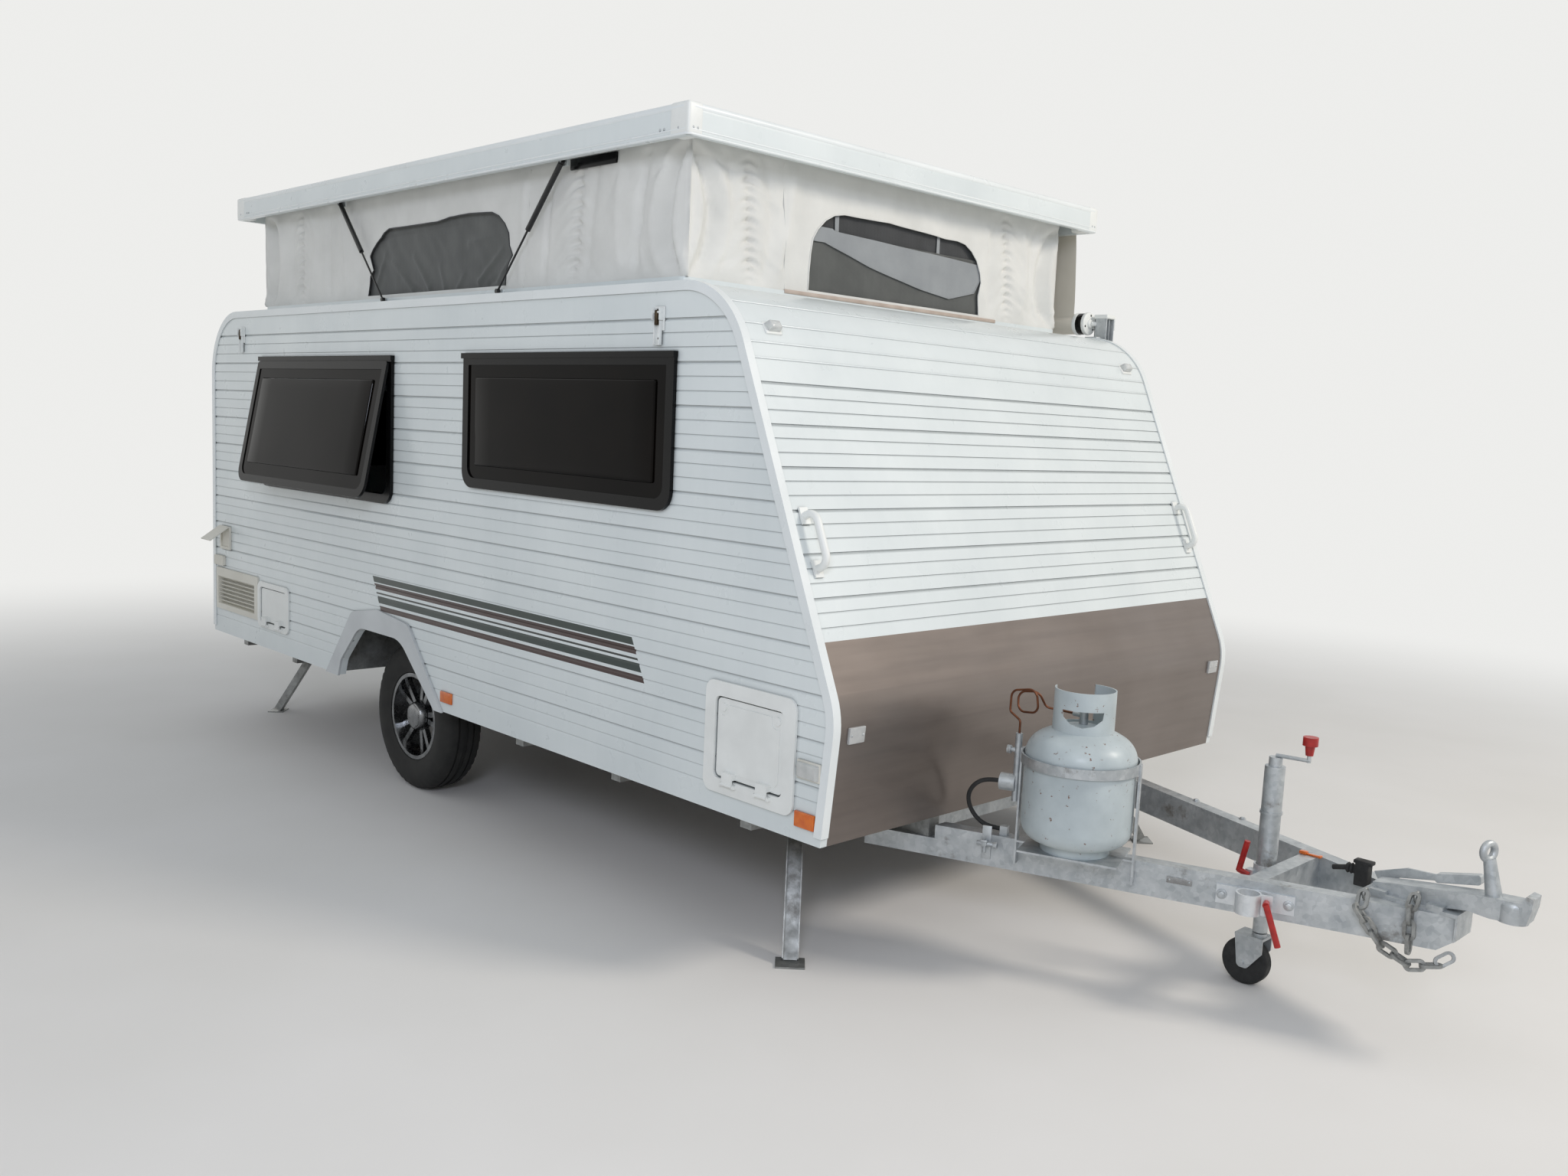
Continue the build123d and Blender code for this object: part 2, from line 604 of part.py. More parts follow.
# Handbrake lever beside the casting: side outline of its blade and its grip, x, z
HANDBRAKE_Y = 56
BLADE = ((3706, DRAWBAR_TOP + BASE_PLATE), (3690, 440), (3780, 474), (3870, 478), (3870, 462), (3760, 440),
         (3752, DRAWBAR_TOP + BASE_PLATE))
GRIP = ((3860, 482), (3977, 510), (3980, 482), (3860, 456))
handbrake = across(side_face(BLADE, (0,) * len(BLADE)), HANDBRAKE_Y - 4, HANDBRAKE_Y + 4)
handbrake += across(side_face(GRIP, (8, 8, 8, 8)), HANDBRAKE_Y - 14, HANDBRAKE_Y + 14)
write("coupling", Compound([coupling, handbrake]))

# Safety chains: racetrack links, every other one turned a quarter. One hangs from the right rail under
# the nose, the other comes over the coupling and down the rail's side. Each starts at its shackle.

LINK_LENGTH = 60
LINK_WIDTH = 34
LINK_BAR = 9
LINK_PITCH = LINK_LENGTH - 2 * LINK_BAR - 1.5
SHACKLE_RADIUS = 18
SHACKLE_BAR = 5
# Each chain's middle line: x, y, z
CHAINS = (
    ((3733, -121, 437), (3740, -157, 378), (3800, -132, 292), (3866, -100, 252), (3915, -72, 260), (3948, -40, 288)),
    ((3850, -60, 446), (3853, -102, 404), (3858, -108, 345), (3860, -106, 283)),
)
SHACKLES = ((3733, -112, DRAWBAR_TOP + SHACKLE_RADIUS), (3850, -52, DRAWBAR_TOP + BASE_PLATE + SHACKLE_RADIUS))


def link():
    ring = SlotOverall(LINK_LENGTH, LINK_WIDTH) - SlotOverall(LINK_LENGTH - 2 * LINK_BAR, LINK_WIDTH - 2 * LINK_BAR)
    return Pos(0, 0, -LINK_BAR / 2) * extrude(ring, amount=LINK_BAR, dir=(0, 0, 1))


def chain(route):
    """Links one pitch apart along a route of straight stretches."""
    points = [Vector(*point) for point in route]
    pieces, due = [], LINK_LENGTH / 2
    for start, end in zip(points, points[1:]):
        stretch = end - start
        while due < stretch.length:
            place = Plane(origin=start + stretch.normalized() * due, x_dir=stretch, z_dir=stretch.cross(Vector(0, 1, 0)))
            pieces.append(place * (Rot(90 * ((len(pieces) + 1) % 2), 0, 0) * link()))
            due += LINK_PITCH
        due -= stretch.length
    return pieces


chain_solids = []
for route, seat in zip(CHAINS, SHACKLES):
    chain_solids += chain(route)
    chain_solids.append(Pos(*seat) * Rot(0, 90, 0) * Torus(SHACKLE_RADIUS - SHACKLE_BAR, SHACKLE_BAR))
write("safety_chains", Compound(chain_solids))

# Jockey wheel: clamp on the tie bar, outer tube with crank, stem with swivelling fork, and wheel

JOCKEY_X = 3390
JOCKEY_RADIUS = 30
JOCKEY_BOTTOM = 300
JOCKEY_TOP = 697
STEM_RADIUS = 22
SWIVEL_Z = 172
JOCKEY_WHEEL_RADIUS = 73
JOCKEY_WHEEL_WIDTH = 48
JOCKEY_TRAIL = 34
CLAMP_HEIGHT = 60
BORE_GAP = 1.0

tube = Pos(JOCKEY_X, 0, JOCKEY_BOTTOM) * Cylinder(
    JOCKEY_RADIUS, JOCKEY_TOP - JOCKEY_BOTTOM, align=(Align.CENTER, Align.CENTER, Align.MIN))
tube += Pos(JOCKEY_X, 0, 553) * Cylinder(JOCKEY_RADIUS + 3, 8)
tube -= Pos(JOCKEY_X, 0, JOCKEY_BOTTOM - 5) * Cylinder(
    STEM_RADIUS + BORE_GAP, JOCKEY_TOP - JOCKEY_BOTTOM - 30, align=(Align.CENTER, Align.CENTER, Align.MIN))
tube += Pos(JOCKEY_X, 0, JOCKEY_TOP) * Cylinder(20, 28, align=(Align.CENTER, Align.CENTER, Align.MIN))
tube += rod((JOCKEY_X, 0, 730), (JOCKEY_X + 104, 0, 734), 6)
tube += rod((JOCKEY_X + 100, 0, 728), (JOCKEY_X + 100, 0, 756), 6)
write("jockey_tube", tube)

knob = Pos(JOCKEY_X + 100, 0, 750) * Cone(11, 15, 34, align=(Align.CENTER, Align.CENTER, Align.MIN))
knob += Pos(JOCKEY_X + 100, 0, 780) * Cylinder(22, 26, align=(Align.CENTER, Align.CENTER, Align.MIN))
knob -= rod((JOCKEY_X + 100, 0, 740), (JOCKEY_X + 100, 0, 756), 6)
write("crank_knob", knob)

tie_rear = TIE_BAR_X - RAIL_WIDTH / 2


def clamp_ring(wall):
    """A split band round a jockey tube, standing on z = 0."""
    ring = Cylinder(JOCKEY_RADIUS + wall + SEAT_GAP, CLAMP_HEIGHT) - Cylinder(JOCKEY_RADIUS + SEAT_GAP, CLAMP_HEIGHT + 5)
    return ring


clamp_z = DRAWBAR_TOP - 45
jockey_clamp = Pos(JOCKEY_X, 0, clamp_z) * clamp_ring(6)
jockey_clamp += block((JOCKEY_X + JOCKEY_RADIUS + 1, tie_rear), (-30, 30), (clamp_z - 30, clamp_z + 30))
jockey_clamp += block((JOCKEY_X - 42, JOCKEY_X - 18), (-48, -20), (clamp_z - 14, clamp_z + 14))
jockey_clamp -= Pos(JOCKEY_X, 0, clamp_z) * Cylinder(JOCKEY_RADIUS + SEAT_GAP, 100)

# Spare clamp on the right rail's outer face, with the ears that its handle pulls together
SPARE_X = 3455
SPARE_PLATE = (216, 6, 56)
SPARE_EAR = (34, 66)
BOLT_RADIUS = 9
BOLT_HEAD = 7
spare_face = rail_outer_y(SPARE_X)
rail_turn = math.degrees(math.atan(drawbar_slope))
spare_plane = Plane(origin=(SPARE_X, -spare_face, DRAWBAR_TOP - 52), x_dir=(
    math.cos(math.radians(rail_turn)), math.sin(math.radians(rail_turn)), 0), z_dir=(0, 0, 1))
ring_y = -JOCKEY_RADIUS - 12
spare = Pos(0, ring_y, 0) * clamp_ring(6)
spare += Pos(15, -SPARE_PLATE[1] / 2, 0) * Box(*SPARE_PLATE)
spare += block(SPARE_EAR, (ring_y - 5, ring_y + 5), (-CLAMP_HEIGHT / 2, CLAMP_HEIGHT / 2))
spare -= Pos(0, ring_y, 0) * Cylinder(JOCKEY_RADIUS + SEAT_GAP, 100)
bolt_head = extrude(RegularPolygon(BOLT_RADIUS, 6), amount=BOLT_HEAD, dir=(0, 0, 1))
for bolt_x in (15 - SPARE_PLATE[0] / 2 + 16, 15 + SPARE_PLATE[0] / 2 - 16):
    spare += Pos(bolt_x, -SPARE_PLATE[1], 0) * Rot(90, 0, 0) * bolt_head
write("tube_clamps", Compound([jockey_clamp, spare_plane * spare]))

# Red handles of the two clamps and the red wheel of the gas valve
GRIP_RADIUS = 9
ear_middle = sum(SPARE_EAR) / 2
ear_bolt_y = ring_y - 5
spare_grip = rod((ear_middle, ear_bolt_y, 10), (ear_middle, ear_bolt_y - 24, 10), GRIP_RADIUS)
spare_grip += rod((ear_middle, ear_bolt_y - 20, 12), (ear_middle + 42, ear_bolt_y - 26, -104), GRIP_RADIUS)
clamp_grip_y = -48 - GRIP_RADIUS - SEAT_GAP
clamp_grip = rod((JOCKEY_X - 26, clamp_grip_y, clamp_z), (JOCKEY_X - 60, clamp_grip_y, clamp_z + 10), GRIP_RADIUS)
clamp_grip += rod((JOCKEY_X - 58, clamp_grip_y, clamp_z + 6), (JOCKEY_X - 38, clamp_grip_y, clamp_z + 104), GRIP_RADIUS)
red_grips = [spare_plane * spare_grip, clamp_grip]

STEM_TOP = 520
stem = Pos(JOCKEY_X, 0, SWIVEL_Z + 4) * Cylinder(
    STEM_RADIUS, STEM_TOP - SWIVEL_Z - 4, align=(Align.CENTER, Align.CENTER, Align.MIN))
stem -= Pos(JOCKEY_X, 0, SWIVEL_Z - 1) * Cylinder(11, 46, align=(Align.CENTER, Align.CENTER, Align.MIN))
write("jockey_stem", stem)

FORK_GAP = 4
FORK_PLATE = 5
fork_inner = JOCKEY_WHEEL_WIDTH / 2 + FORK_GAP
axle_x = JOCKEY_X - JOCKEY_TRAIL
fork_crown_z = 2 * JOCKEY_WHEEL_RADIUS + 8
fork = block((axle_x - 30, JOCKEY_X + 26), (-fork_inner - FORK_PLATE, fork_inner + FORK_PLATE),
             (fork_crown_z, fork_crown_z + 8))
for cheek_side in (-1, 1):
    cheek = side_face(
        ((axle_x - 16, JOCKEY_WHEEL_RADIUS - 16), (axle_x - 30, fork_crown_z + 8), (JOCKEY_X + 26, fork_crown_z + 8),
         (JOCKEY_X + 26, fork_crown_z - 40), (axle_x + 16, JOCKEY_WHEEL_RADIUS - 16)), (14, 0, 0, 0, 14))
    fork += across(cheek, *on_side(cheek_side, fork_inner, fork_inner + FORK_PLATE))
fork += Pos(JOCKEY_X, 0, fork_crown_z + 8) * Cylinder(
    STEM_RADIUS, SWIVEL_Z - fork_crown_z - 8, align=(Align.CENTER, Align.CENTER, Align.MIN))
fork += Pos(JOCKEY_X, 0, fork_crown_z + 8) * Cylinder(10, 50, align=(Align.CENTER, Align.CENTER, Align.MIN))
fork += rod((axle_x, -fork_inner - FORK_PLATE - 5, JOCKEY_WHEEL_RADIUS),
            (axle_x, fork_inner + FORK_PLATE + 5, JOCKEY_WHEEL_RADIUS), 7)
write("jockey_fork", fork)

jockey_wheel = Pos(axle_x, 0, JOCKEY_WHEEL_RADIUS) * Rot(90, 0, 0) * (
    fillet(Cylinder(JOCKEY_WHEEL_RADIUS, JOCKEY_WHEEL_WIDTH).edges().filter_by(GeomType.CIRCLE), 12)
    - Cylinder(7.3, JOCKEY_WHEEL_WIDTH + 5))
write("jockey_wheel", jockey_wheel)

# Corner legs: an open channel with a foot plate that lies flat on the ground when it is down

LEG_DEPTH = 34
LEG_SHEET = 4
FOOT_THICKNESS = 6
leg_reach = (LEG_PIN_Z - FOOT_THICKNESS) / math.cos(math.radians(LEG_ANGLE))


def corner_leg(pin_x, pin_y, foot_x, foot_y):
    frame = leg_frame(pin_x, pin_y, foot_x, foot_y)
    swing = Rot(0, -LEG_ANGLE, 0)
    low = -leg_reach + LEG_DEPTH / 2 * math.tan(math.radians(LEG_ANGLE)) - 1
    channel = Pos(0, 0, (12 + low) / 2) * Box(LEG_DEPTH, 2 * LEG_HALF_WIDTH, 12 - low)
    channel -= Pos(LEG_SHEET, 0, (12 + low) / 2) * Box(LEG_DEPTH, 2 * (LEG_HALF_WIDTH - LEG_SHEET), 20 - low)
    channel -= Rot(90, 0, 0) * Cylinder(LEG_PIN_RADIUS + SEAT_GAP, 3 * LEG_HALF_WIDTH)
    foot_middle = leg_reach * math.sin(math.radians(LEG_ANGLE))
    foot = Pos(foot_middle, 0, -LEG_PIN_Z + FOOT_THICKNESS / 2) * Box(78, 92, FOOT_THICKNESS)
    ground_cut = Pos(foot_middle, 0, -LEG_PIN_Z + FOOT_THICKNESS / 2 - 50) * Box(300, 300, 100)
    return frame * (((swing * channel) - ground_cut) + foot)


for leg_name, *place in LEGS:
    write(f"leg_{leg_name}", corner_leg(*place))

# Pop-top lid: a shallow tray with rounded edges and the struts' upper studs

lid_top = LID_BOTTOM + LID_DEPTH
lid = block((LID_REAR_X, LID_FRONT_X), (-LID_HALF_WIDTH, LID_HALF_WIDTH), (LID_BOTTOM, lid_top))
lid = fillet(lid.edges().filter_by(Axis.Z), 30)
lid = fillet(lid.faces().sort_by(Axis.Z)[-1].edges(), 28)
lid -= block((LID_REAR_X + LID_RIM, LID_FRONT_X - LID_RIM), (-LID_HALF_WIDTH + LID_RIM, LID_HALF_WIDTH - LID_RIM),
             (LID_BOTTOM - 5, lid_top - LID_SKIN))

# Gas struts: name, side, base x, direction from the base to the top along X
STRUT_Y = RAIL_HALF_WIDTH + 36
STRUT_SPREAD = 400
STRUT_BASE_Z = BODY_TOP + 22
STRUT_TOP_Z = LID_BOTTOM + 7
STRUT_RADIUS = 10
ROD_RADIUS = 4
STRUT_BODY = 300
STUD_RADIUS = 4
EYE_HALF = 7
STRUTS = (
    ("front_right", -1, 726, 1),
    ("rear_right", -1, -169, -1),
    ("front_left", 1, 726, 1),
    ("rear_left", 1, -169, -1),
)
PLATE = 5
plate_outer = STRUT_Y - STRUT_RADIUS - 4
for _, side, base_x, lean in STRUTS:
    top_x = base_x + lean * STRUT_SPREAD
    lid += block((top_x - 20, top_x + 20), on_side(side, plate_outer - PLATE, plate_outer),
                 (STRUT_TOP_Z - 12, lid_top - LID_SKIN))
    lid += rod((top_x, side * (plate_outer - 1), STRUT_TOP_Z), (top_x, side * (STRUT_Y + EYE_HALF), STRUT_TOP_Z),
               STUD_RADIUS)
write("roof_lid", lid)

for _, side, base_x, lean in STRUTS:
    bracket = block((base_x - 20, base_x + 20), on_side(side, RAIL_HALF_WIDTH, plate_outer), (BODY_TOP, BODY_TOP + 6))
    bracket += block((base_x - 14, base_x + 14), on_side(side, plate_outer - PLATE, plate_outer),
                     (BODY_TOP, STRUT_BASE_Z + 9))
    bracket += rod((base_x, side * (plate_outer - 1), STRUT_BASE_Z),
                   (base_x, side * (STRUT_Y - EYE_HALF - SEAT_GAP), STRUT_BASE_Z), STUD_RADIUS)
    deck += bracket
write("roof_deck", deck)

strut_length = math.hypot(STRUT_SPREAD, STRUT_TOP_Z - STRUT_BASE_Z)
for strut_name, side, base_x, lean in STRUTS:
    top = Vector(base_x + lean * STRUT_SPREAD, side * STRUT_Y, STRUT_TOP_Z)
    base = Vector(base_x, side * STRUT_Y, STRUT_BASE_Z)
    down = Plane(origin=top, x_dir=(0, 1, 0), z_dir=base - top)
    eye = Rot(0, 90, 0) * Cylinder(9, 2 * EYE_HALF)
    body = down * (eye + Pos(0, 0, 6) * Cylinder(
        STRUT_RADIUS, STRUT_BODY - 6, align=(Align.CENTER, Align.CENTER, Align.MIN)))
    body -= down * (Rot(0, 90, 0) * Cylinder(STUD_RADIUS + SEAT_GAP, 40))
    body -= down * (Pos(0, 0, 40) * Cylinder(
        ROD_RADIUS + SEAT_GAP, STRUT_BODY, align=(Align.CENTER, Align.CENTER, Align.MIN)))
    write(f"strut_body_{strut_name}", body)
    piston_rod = down * (Pos(0, 0, STRUT_BODY - 40) * Cylinder(
        ROD_RADIUS, strut_length - STRUT_BODY + 40, align=(Align.CENTER, Align.CENTER, Align.MIN)))
    piston_rod += Pos(*base) * Rot(90, 0, 0) * Cylinder(9, 2 * EYE_HALF)
    write(f"strut_rod_{strut_name}", piston_rod)

# Canvas skirt between the rail and the lid

canvas_x = (RAIL_REAR_X + 4, RAIL_FRONT_X - 4)
canvas_half = RAIL_HALF_WIDTH - 4
canvas_z = (RAIL_TOP, lid_top - LID_SKIN - SEAT_GAP)
canvas = block(canvas_x, (-canvas_half, canvas_half), canvas_z)
canvas -= block(
    (canvas_x[0] + CANVAS_THICKNESS, canvas_x[1] - CANVAS_THICKNESS),
    (-canvas_half + CANVAS_THICKNESS, canvas_half - CANVAS_THICKNESS), (canvas_z[0] - 5, canvas_z[1] + 5))
write("canvas_skirt", canvas)

# Awning on the door side: roll in its arms, and the fabric up to the lid

AWNING_X = (-1560, 1826)
ARM_X = (-1592, 1884)
ARM_HALF = 30
ARM_BOTTOM = 640
ARM_HEAD_Y = HALF_WIDTH + 78
ARM_TOP = AWNING_Z + 40
awning = rod((AWNING_X[0], AWNING_Y, AWNING_Z), (AWNING_X[1], AWNING_Y, AWNING_Z), AWNING_RADIUS)
awning += rod((ARM_X[0], AWNING_Y, AWNING_Z), (ARM_X[1], AWNING_Y, AWNING_Z), 10)
for x in ARM_X:
    arm_x = (x - ARM_HALF, x + ARM_HALF)
    awning += block(arm_x, (HALF_WIDTH + TRIM_THICKNESS + 1, HALF_WIDTH + 34), (ARM_BOTTOM, ARM_TOP))
    awning += block(arm_x, (HALF_WIDTH + TRIM_THICKNESS + 1, ARM_HEAD_Y), (AWNING_Z - 60, ARM_TOP))
    awning += block(arm_x, (HALF_WIDTH, HALF_WIDTH + 40), (ARM_BOTTOM - 40, ARM_BOTTOM + 40))
CAP_RADIUS = 50
CAP_LENGTH = 16
awning += rod((AWNING_X[1], AWNING_Y, AWNING_Z), (AWNING_X[1] + CAP_LENGTH, AWNING_Y, AWNING_Z), CAP_RADIUS)
awning += rod((AWNING_X[0] - CAP_LENGTH, AWNING_Y, AWNING_Z), (AWNING_X[0], AWNING_Y, AWNING_Z), CAP_RADIUS)
write("awning_roll", awning)

FABRIC_TOP_Z = LID_BOTTOM + 10
FABRIC_BOTTOM_Z = BODY_TOP + 10
FABRIC_THICKNESS = 3
fabric_outer = AWNING_Y - AWNING_RADIUS - SEAT_GAP
fabric_inner = LID_HALF_WIDTH + SEAT_GAP
fabric_line = Polyline(
    (fabric_outer - FABRIC_THICKNESS, FABRIC_BOTTOM_Z), (fabric_outer - FABRIC_THICKNESS, AWNING_Z),
    (fabric_inner, FABRIC_TOP_Z), (fabric_inner + FABRIC_THICKNESS, FABRIC_TOP_Z),
    (fabric_outer, AWNING_Z), (fabric_outer, FABRIC_BOTTOM_Z), close=True)
fabric = extrude(Plane.YZ * make_face(fabric_line), amount=AWNING_X[1] - AWNING_X[0] - 110, dir=(1, 0, 0))
write("awning_fabric", Pos(AWNING_X[0] + 60, 0, 0) * fabric)

# Windows: raised frames, panes, and the sash that stands open

# The rail that carries the hinge runs along each frame's top and past its rear end
RAIL_REACH = 10
RAIL_PROUD = 19
frames, panes = [], []
for name, side, x0, x1, z0, z1 in WINDOWS:
    y = on_side(side, HALF_WIDTH, HALF_WIDTH + WINDOW_PROUD)
    ring = window_panel((x0, x1), (z0, z1), y)
    ring -= window_panel((x0, x1), (z0, z1), grown(y, 5), WINDOW_FRAME_WIDTH)
    ring += block((x0 - RAIL_REACH, x1 + 2), on_side(side, HALF_WIDTH, HALF_WIDTH + RAIL_PROUD), (z1 - 14, z1 + 6))
    frames.append(ring)
    if name != OPEN_WINDOW:
        pane_y = on_side(side, HALF_WIDTH + 3, HALF_WIDTH + 3 + PANE_THICKNESS)
        panes.append(window_panel((x0, x1), (z0, z1), pane_y, WINDOW_FRAME_WIDTH))
rear_frame = Plane.YZ * RectangleRounded(
    REAR_WINDOW_Y[1] - REAR_WINDOW_Y[0], REAR_WINDOW_Z[1] - REAR_WINDOW_Z[0], WINDOW_RADIUS)
rear_inner = Plane.YZ * RectangleRounded(
    REAR_WINDOW_Y[1] - REAR_WINDOW_Y[0] - 2 * WINDOW_FRAME_WIDTH,
    REAR_WINDOW_Z[1] - REAR_WINDOW_Z[0] - 2 * WINDOW_FRAME_WIDTH, WINDOW_RADIUS - 10)
rear_at = Pos(REAR_X, 0, sum(REAR_WINDOW_Z) / 2)
frames.append(rear_at * extrude(rear_frame - rear_inner, amount=WINDOW_PROUD, dir=(-1, 0, 0)))
panes.append(rear_at * Pos(-3, 0, 0) * extrude(rear_inner, amount=PANE_THICKNESS, dir=(-1, 0, 0)))

_, _, sash_x0, sash_x1, sash_z0, sash_z1 = next(w for w in WINDOWS if w[0] == OPEN_WINDOW)
SASH_INSET = 12
SASH_BORDER = 34
SASH_THICKNESS = 12
hinge_z = sash_z1 - 20
hinge_y = -(HALF_WIDTH + WINDOW_PROUD + SEAT_GAP)
sash_x, sash_z = (sash_x0 + SASH_INSET, sash_x1 - SASH_INSET), (sash_z0 + SASH_INSET, hinge_z)
sash_frame = window_panel(sash_x, sash_z, (hinge_y - SASH_THICKNESS, hinge_y))
sash_hole = window_panel(sash_x, sash_z, (hinge_y - SASH_THICKNESS - 5, hinge_y + 5), SASH_BORDER)
sash_pane = window_panel(sash_x, sash_z, (hinge_y - 8, hinge_y - 3), SASH_BORDER)
swing_open = Pos(0, hinge_y, hinge_z) * Rot(-SASH_ANGLE, 0, 0) * Pos(0, -hinge_y, -hinge_z)
frames.append(swing_open * (sash_frame - sash_hole))
panes.append(swing_open * sash_pane)
write("window_frames", Compound(frames))
write("window_panes", Compound(panes))

# Doors that shut against a lip inside their frame, each hung on two pins held by lugs on the frame

LIP = 14
LIP_THICKNESS = 8
FRAME_PROUD = 8
PIN_RADIUS = 3
KNUCKLE_RADIUS = 6.5
KNUCKLE_LENGTH = 46
PIN_HEIGHT = 17
PIN_OUT = HALF_WIDTH + PIN_HEIGHT
PIN_BESIDE = 10
STRAP = 5
STRAP_FOOT = 20
LUG = 9
PIN_GAP = 1


def opening_frame(x, z, side, border, radius):
    """A flange outside the wall and a lip inside it, round one opening."""
    through = on_side(side, INNER_FACE - 40, HALF_WIDTH + 40)
    flange = rounded_panel(grown(x, border), grown(z, border), on_side(side, HALF_WIDTH, HALF_WIDTH + FRAME_PROUD),
                           radius + 14)
    flange -= rounded_panel(x, z, through, radius)
    lip = rounded_panel(grown(x, 8), grown(z, 8), on_side(side, INNER_FACE - LIP_THICKNESS, INNER_FACE), radius + 8)
    lip -= rounded_panel(grown(x, -LIP), grown(z, -LIP), through, max(radius - LIP, 5))
    return [flange, lip]


def flush_door(x, z, side, radius):
    return rounded_panel(grown(x, -DOOR_GAP), grown(z, -DOOR_GAP), on_side(side, INNER_FACE + SEAT_GAP, HALF_WIDTH),
                         radius - DOOR_GAP)


def pin_hinge(middle):
    """The knuckle of a door and the pin with two lugs of its frame, with the pin along Z at the origin,
    the door towards -X and the wall towards -Y."""
    half = KNUCKLE_LENGTH / 2
    knuckle = Cylinder(KNUCKLE_RADIUS, KNUCKLE_LENGTH)
    foot_x = (-PIN_BESIDE - DOOR_GAP - 2 - STRAP_FOOT, -PIN_BESIDE - DOOR_GAP - 2)
    knuckle += block((foot_x[0], 0), (-1, STRAP - 1), (-half, half))
    knuckle += block(foot_x, (-PIN_HEIGHT, STRAP - 1), (-half, half))
    knuckle -= Cylinder(PIN_RADIUS + SEAT_GAP, 2 * KNUCKLE_LENGTH)
    fixed = Cylinder(PIN_RADIUS, KNUCKLE_LENGTH + 2 * (PIN_GAP + LUG))
    reach = PIN_HEIGHT - FRAME_PROUD
    for end in (-1, 1):
        lug = Pos(2, -reach / 2 + 2, end * (half + PIN_GAP + LUG / 2)) * Box(2 * KNUCKLE_RADIUS - 2, reach + 4, LUG)
        fixed += lug
    return middle * knuckle, middle * fixed


# Entry door, with its own pane
door_pin_x = DOOR_X[1] + PIN_BESIDE
DOOR_PIN_Z = (760, 1720)
DOOR_WINDOW_X = (DOOR_X[0] + 110, DOOR_X[1] - 110)
DOOR_WINDOW_Z = (1360, 1820)
opening_frames = opening_frame(DOOR_X, DOOR_Z, 1, 30, DOOR_RADIUS)
door = flush_door(DOOR_X, DOOR_Z, 1, DOOR_RADIUS)
door -= rounded_panel(DOOR_WINDOW_X, DOOR_WINDOW_Z, (INNER_FACE - 5, HALF_WIDTH + 5), WINDOW_RADIUS)
for z in DOOR_PIN_Z:
    knuckle, fixed = pin_hinge(Pos(door_pin_x, PIN_OUT, z))
    door += knuckle
    opening_frames[0] += fixed
HANDLE_PLATE_X = (DOOR_X[0] + 28, DOOR_X[0] + 88)
HANDLE_PLATE_Z = (1130, 1260)
door += rounded_panel(HANDLE_PLATE_X, HANDLE_PLATE_Z, (HALF_WIDTH - 1, HALF_WIDTH + 8), 12)
grip_x = sum(HANDLE_PLATE_X) / 2
door += block((grip_x - 12, grip_x + 12), (HALF_WIDTH + 7, HALF_WIDTH + 34), (HANDLE_PLATE_Z[1] - 40, HANDLE_PLATE_Z[1] - 15))
door += block((grip_x - 12, grip_x + 12), (HALF_WIDTH + 26, HALF_WIDTH + 34), (HANDLE_PLATE_Z[0] + 15, HANDLE_PLATE_Z[1] - 15))
write("entry_door", door)
door_pane = rounded_panel(DOOR_WINDOW_X, DOOR_WINDOW_Z, (HALF_WIDTH - 14, HALF_WIDTH - 9), WINDOW_RADIUS)
write("door_pane", door_pane)


def bottom_hung_door(x, z, side, border):
    """A flush door hinged along its bottom edge, and its frame with the pins."""
    frame = opening_frame(x, z, side, border, BOOT_RADIUS)
    door = flush_door(x, z, side, BOOT_RADIUS)
    quarter = (x[1] - x[0]) / 4
    for pin_x in (x[0] + quarter, x[1] - quarter):
        lying = Plane(origin=(pin_x, side * PIN_OUT, z[0] - PIN_BESIDE), x_dir=(0, 0, -1), z_dir=(side, 0, 0))
        knuckle, fixed = pin_hinge(lying)
        door += knuckle
        frame[0] += fixed
    return door, frame


PAD_INSET = 24
PAD_PROUD = 3
LOCK_INSET = 34
LOCK_RADIUS = 13


def boot_pad(side):
    """The raised middle of a boot door, notched round the two locks in its upper corners."""
    pad = rounded_panel(grown(BOOT_X, -PAD_INSET), grown(BOOT_Z, -PAD_INSET),
                        on_side(side, HALF_WIDTH - 1, HALF_WIDTH + PAD_PROUD), BOOT_RADIUS)
    locks = Part()
    lock_z = BOOT_Z[1] - LOCK_INSET
    for lock_x in (BOOT_X[0] + LOCK_INSET, BOOT_X[1] - LOCK_INSET):
        pad -= rod((lock_x, side * (HALF_WIDTH - 5), lock_z), (lock_x, side * (HALF_WIDTH + 9), lock_z),
                   2 * LOCK_RADIUS)
        locks += rod((lock_x, side * (HALF_WIDTH - 1), lock_z), (lock_x, side * (HALF_WIDTH + 5), lock_z), LOCK_RADIUS)
    return pad + locks


for side_name, side in SIDES:
    boot_door, boot_frame = bottom_hung_door(BOOT_X, BOOT_Z, side, BOOT_FRAME)
    boot_door += boot_pad(side)
    write(f"boot_door_{side_name}", boot_door)
    opening_frames += boot_frame
hatch, hatch_frame = bottom_hung_door(HATCH_X, HATCH_Z, -1, 26)
write("service_hatch", hatch)
write("opening_frames", Compound(opening_frames + hatch_frame))

# Appliance vent with sloping louvres

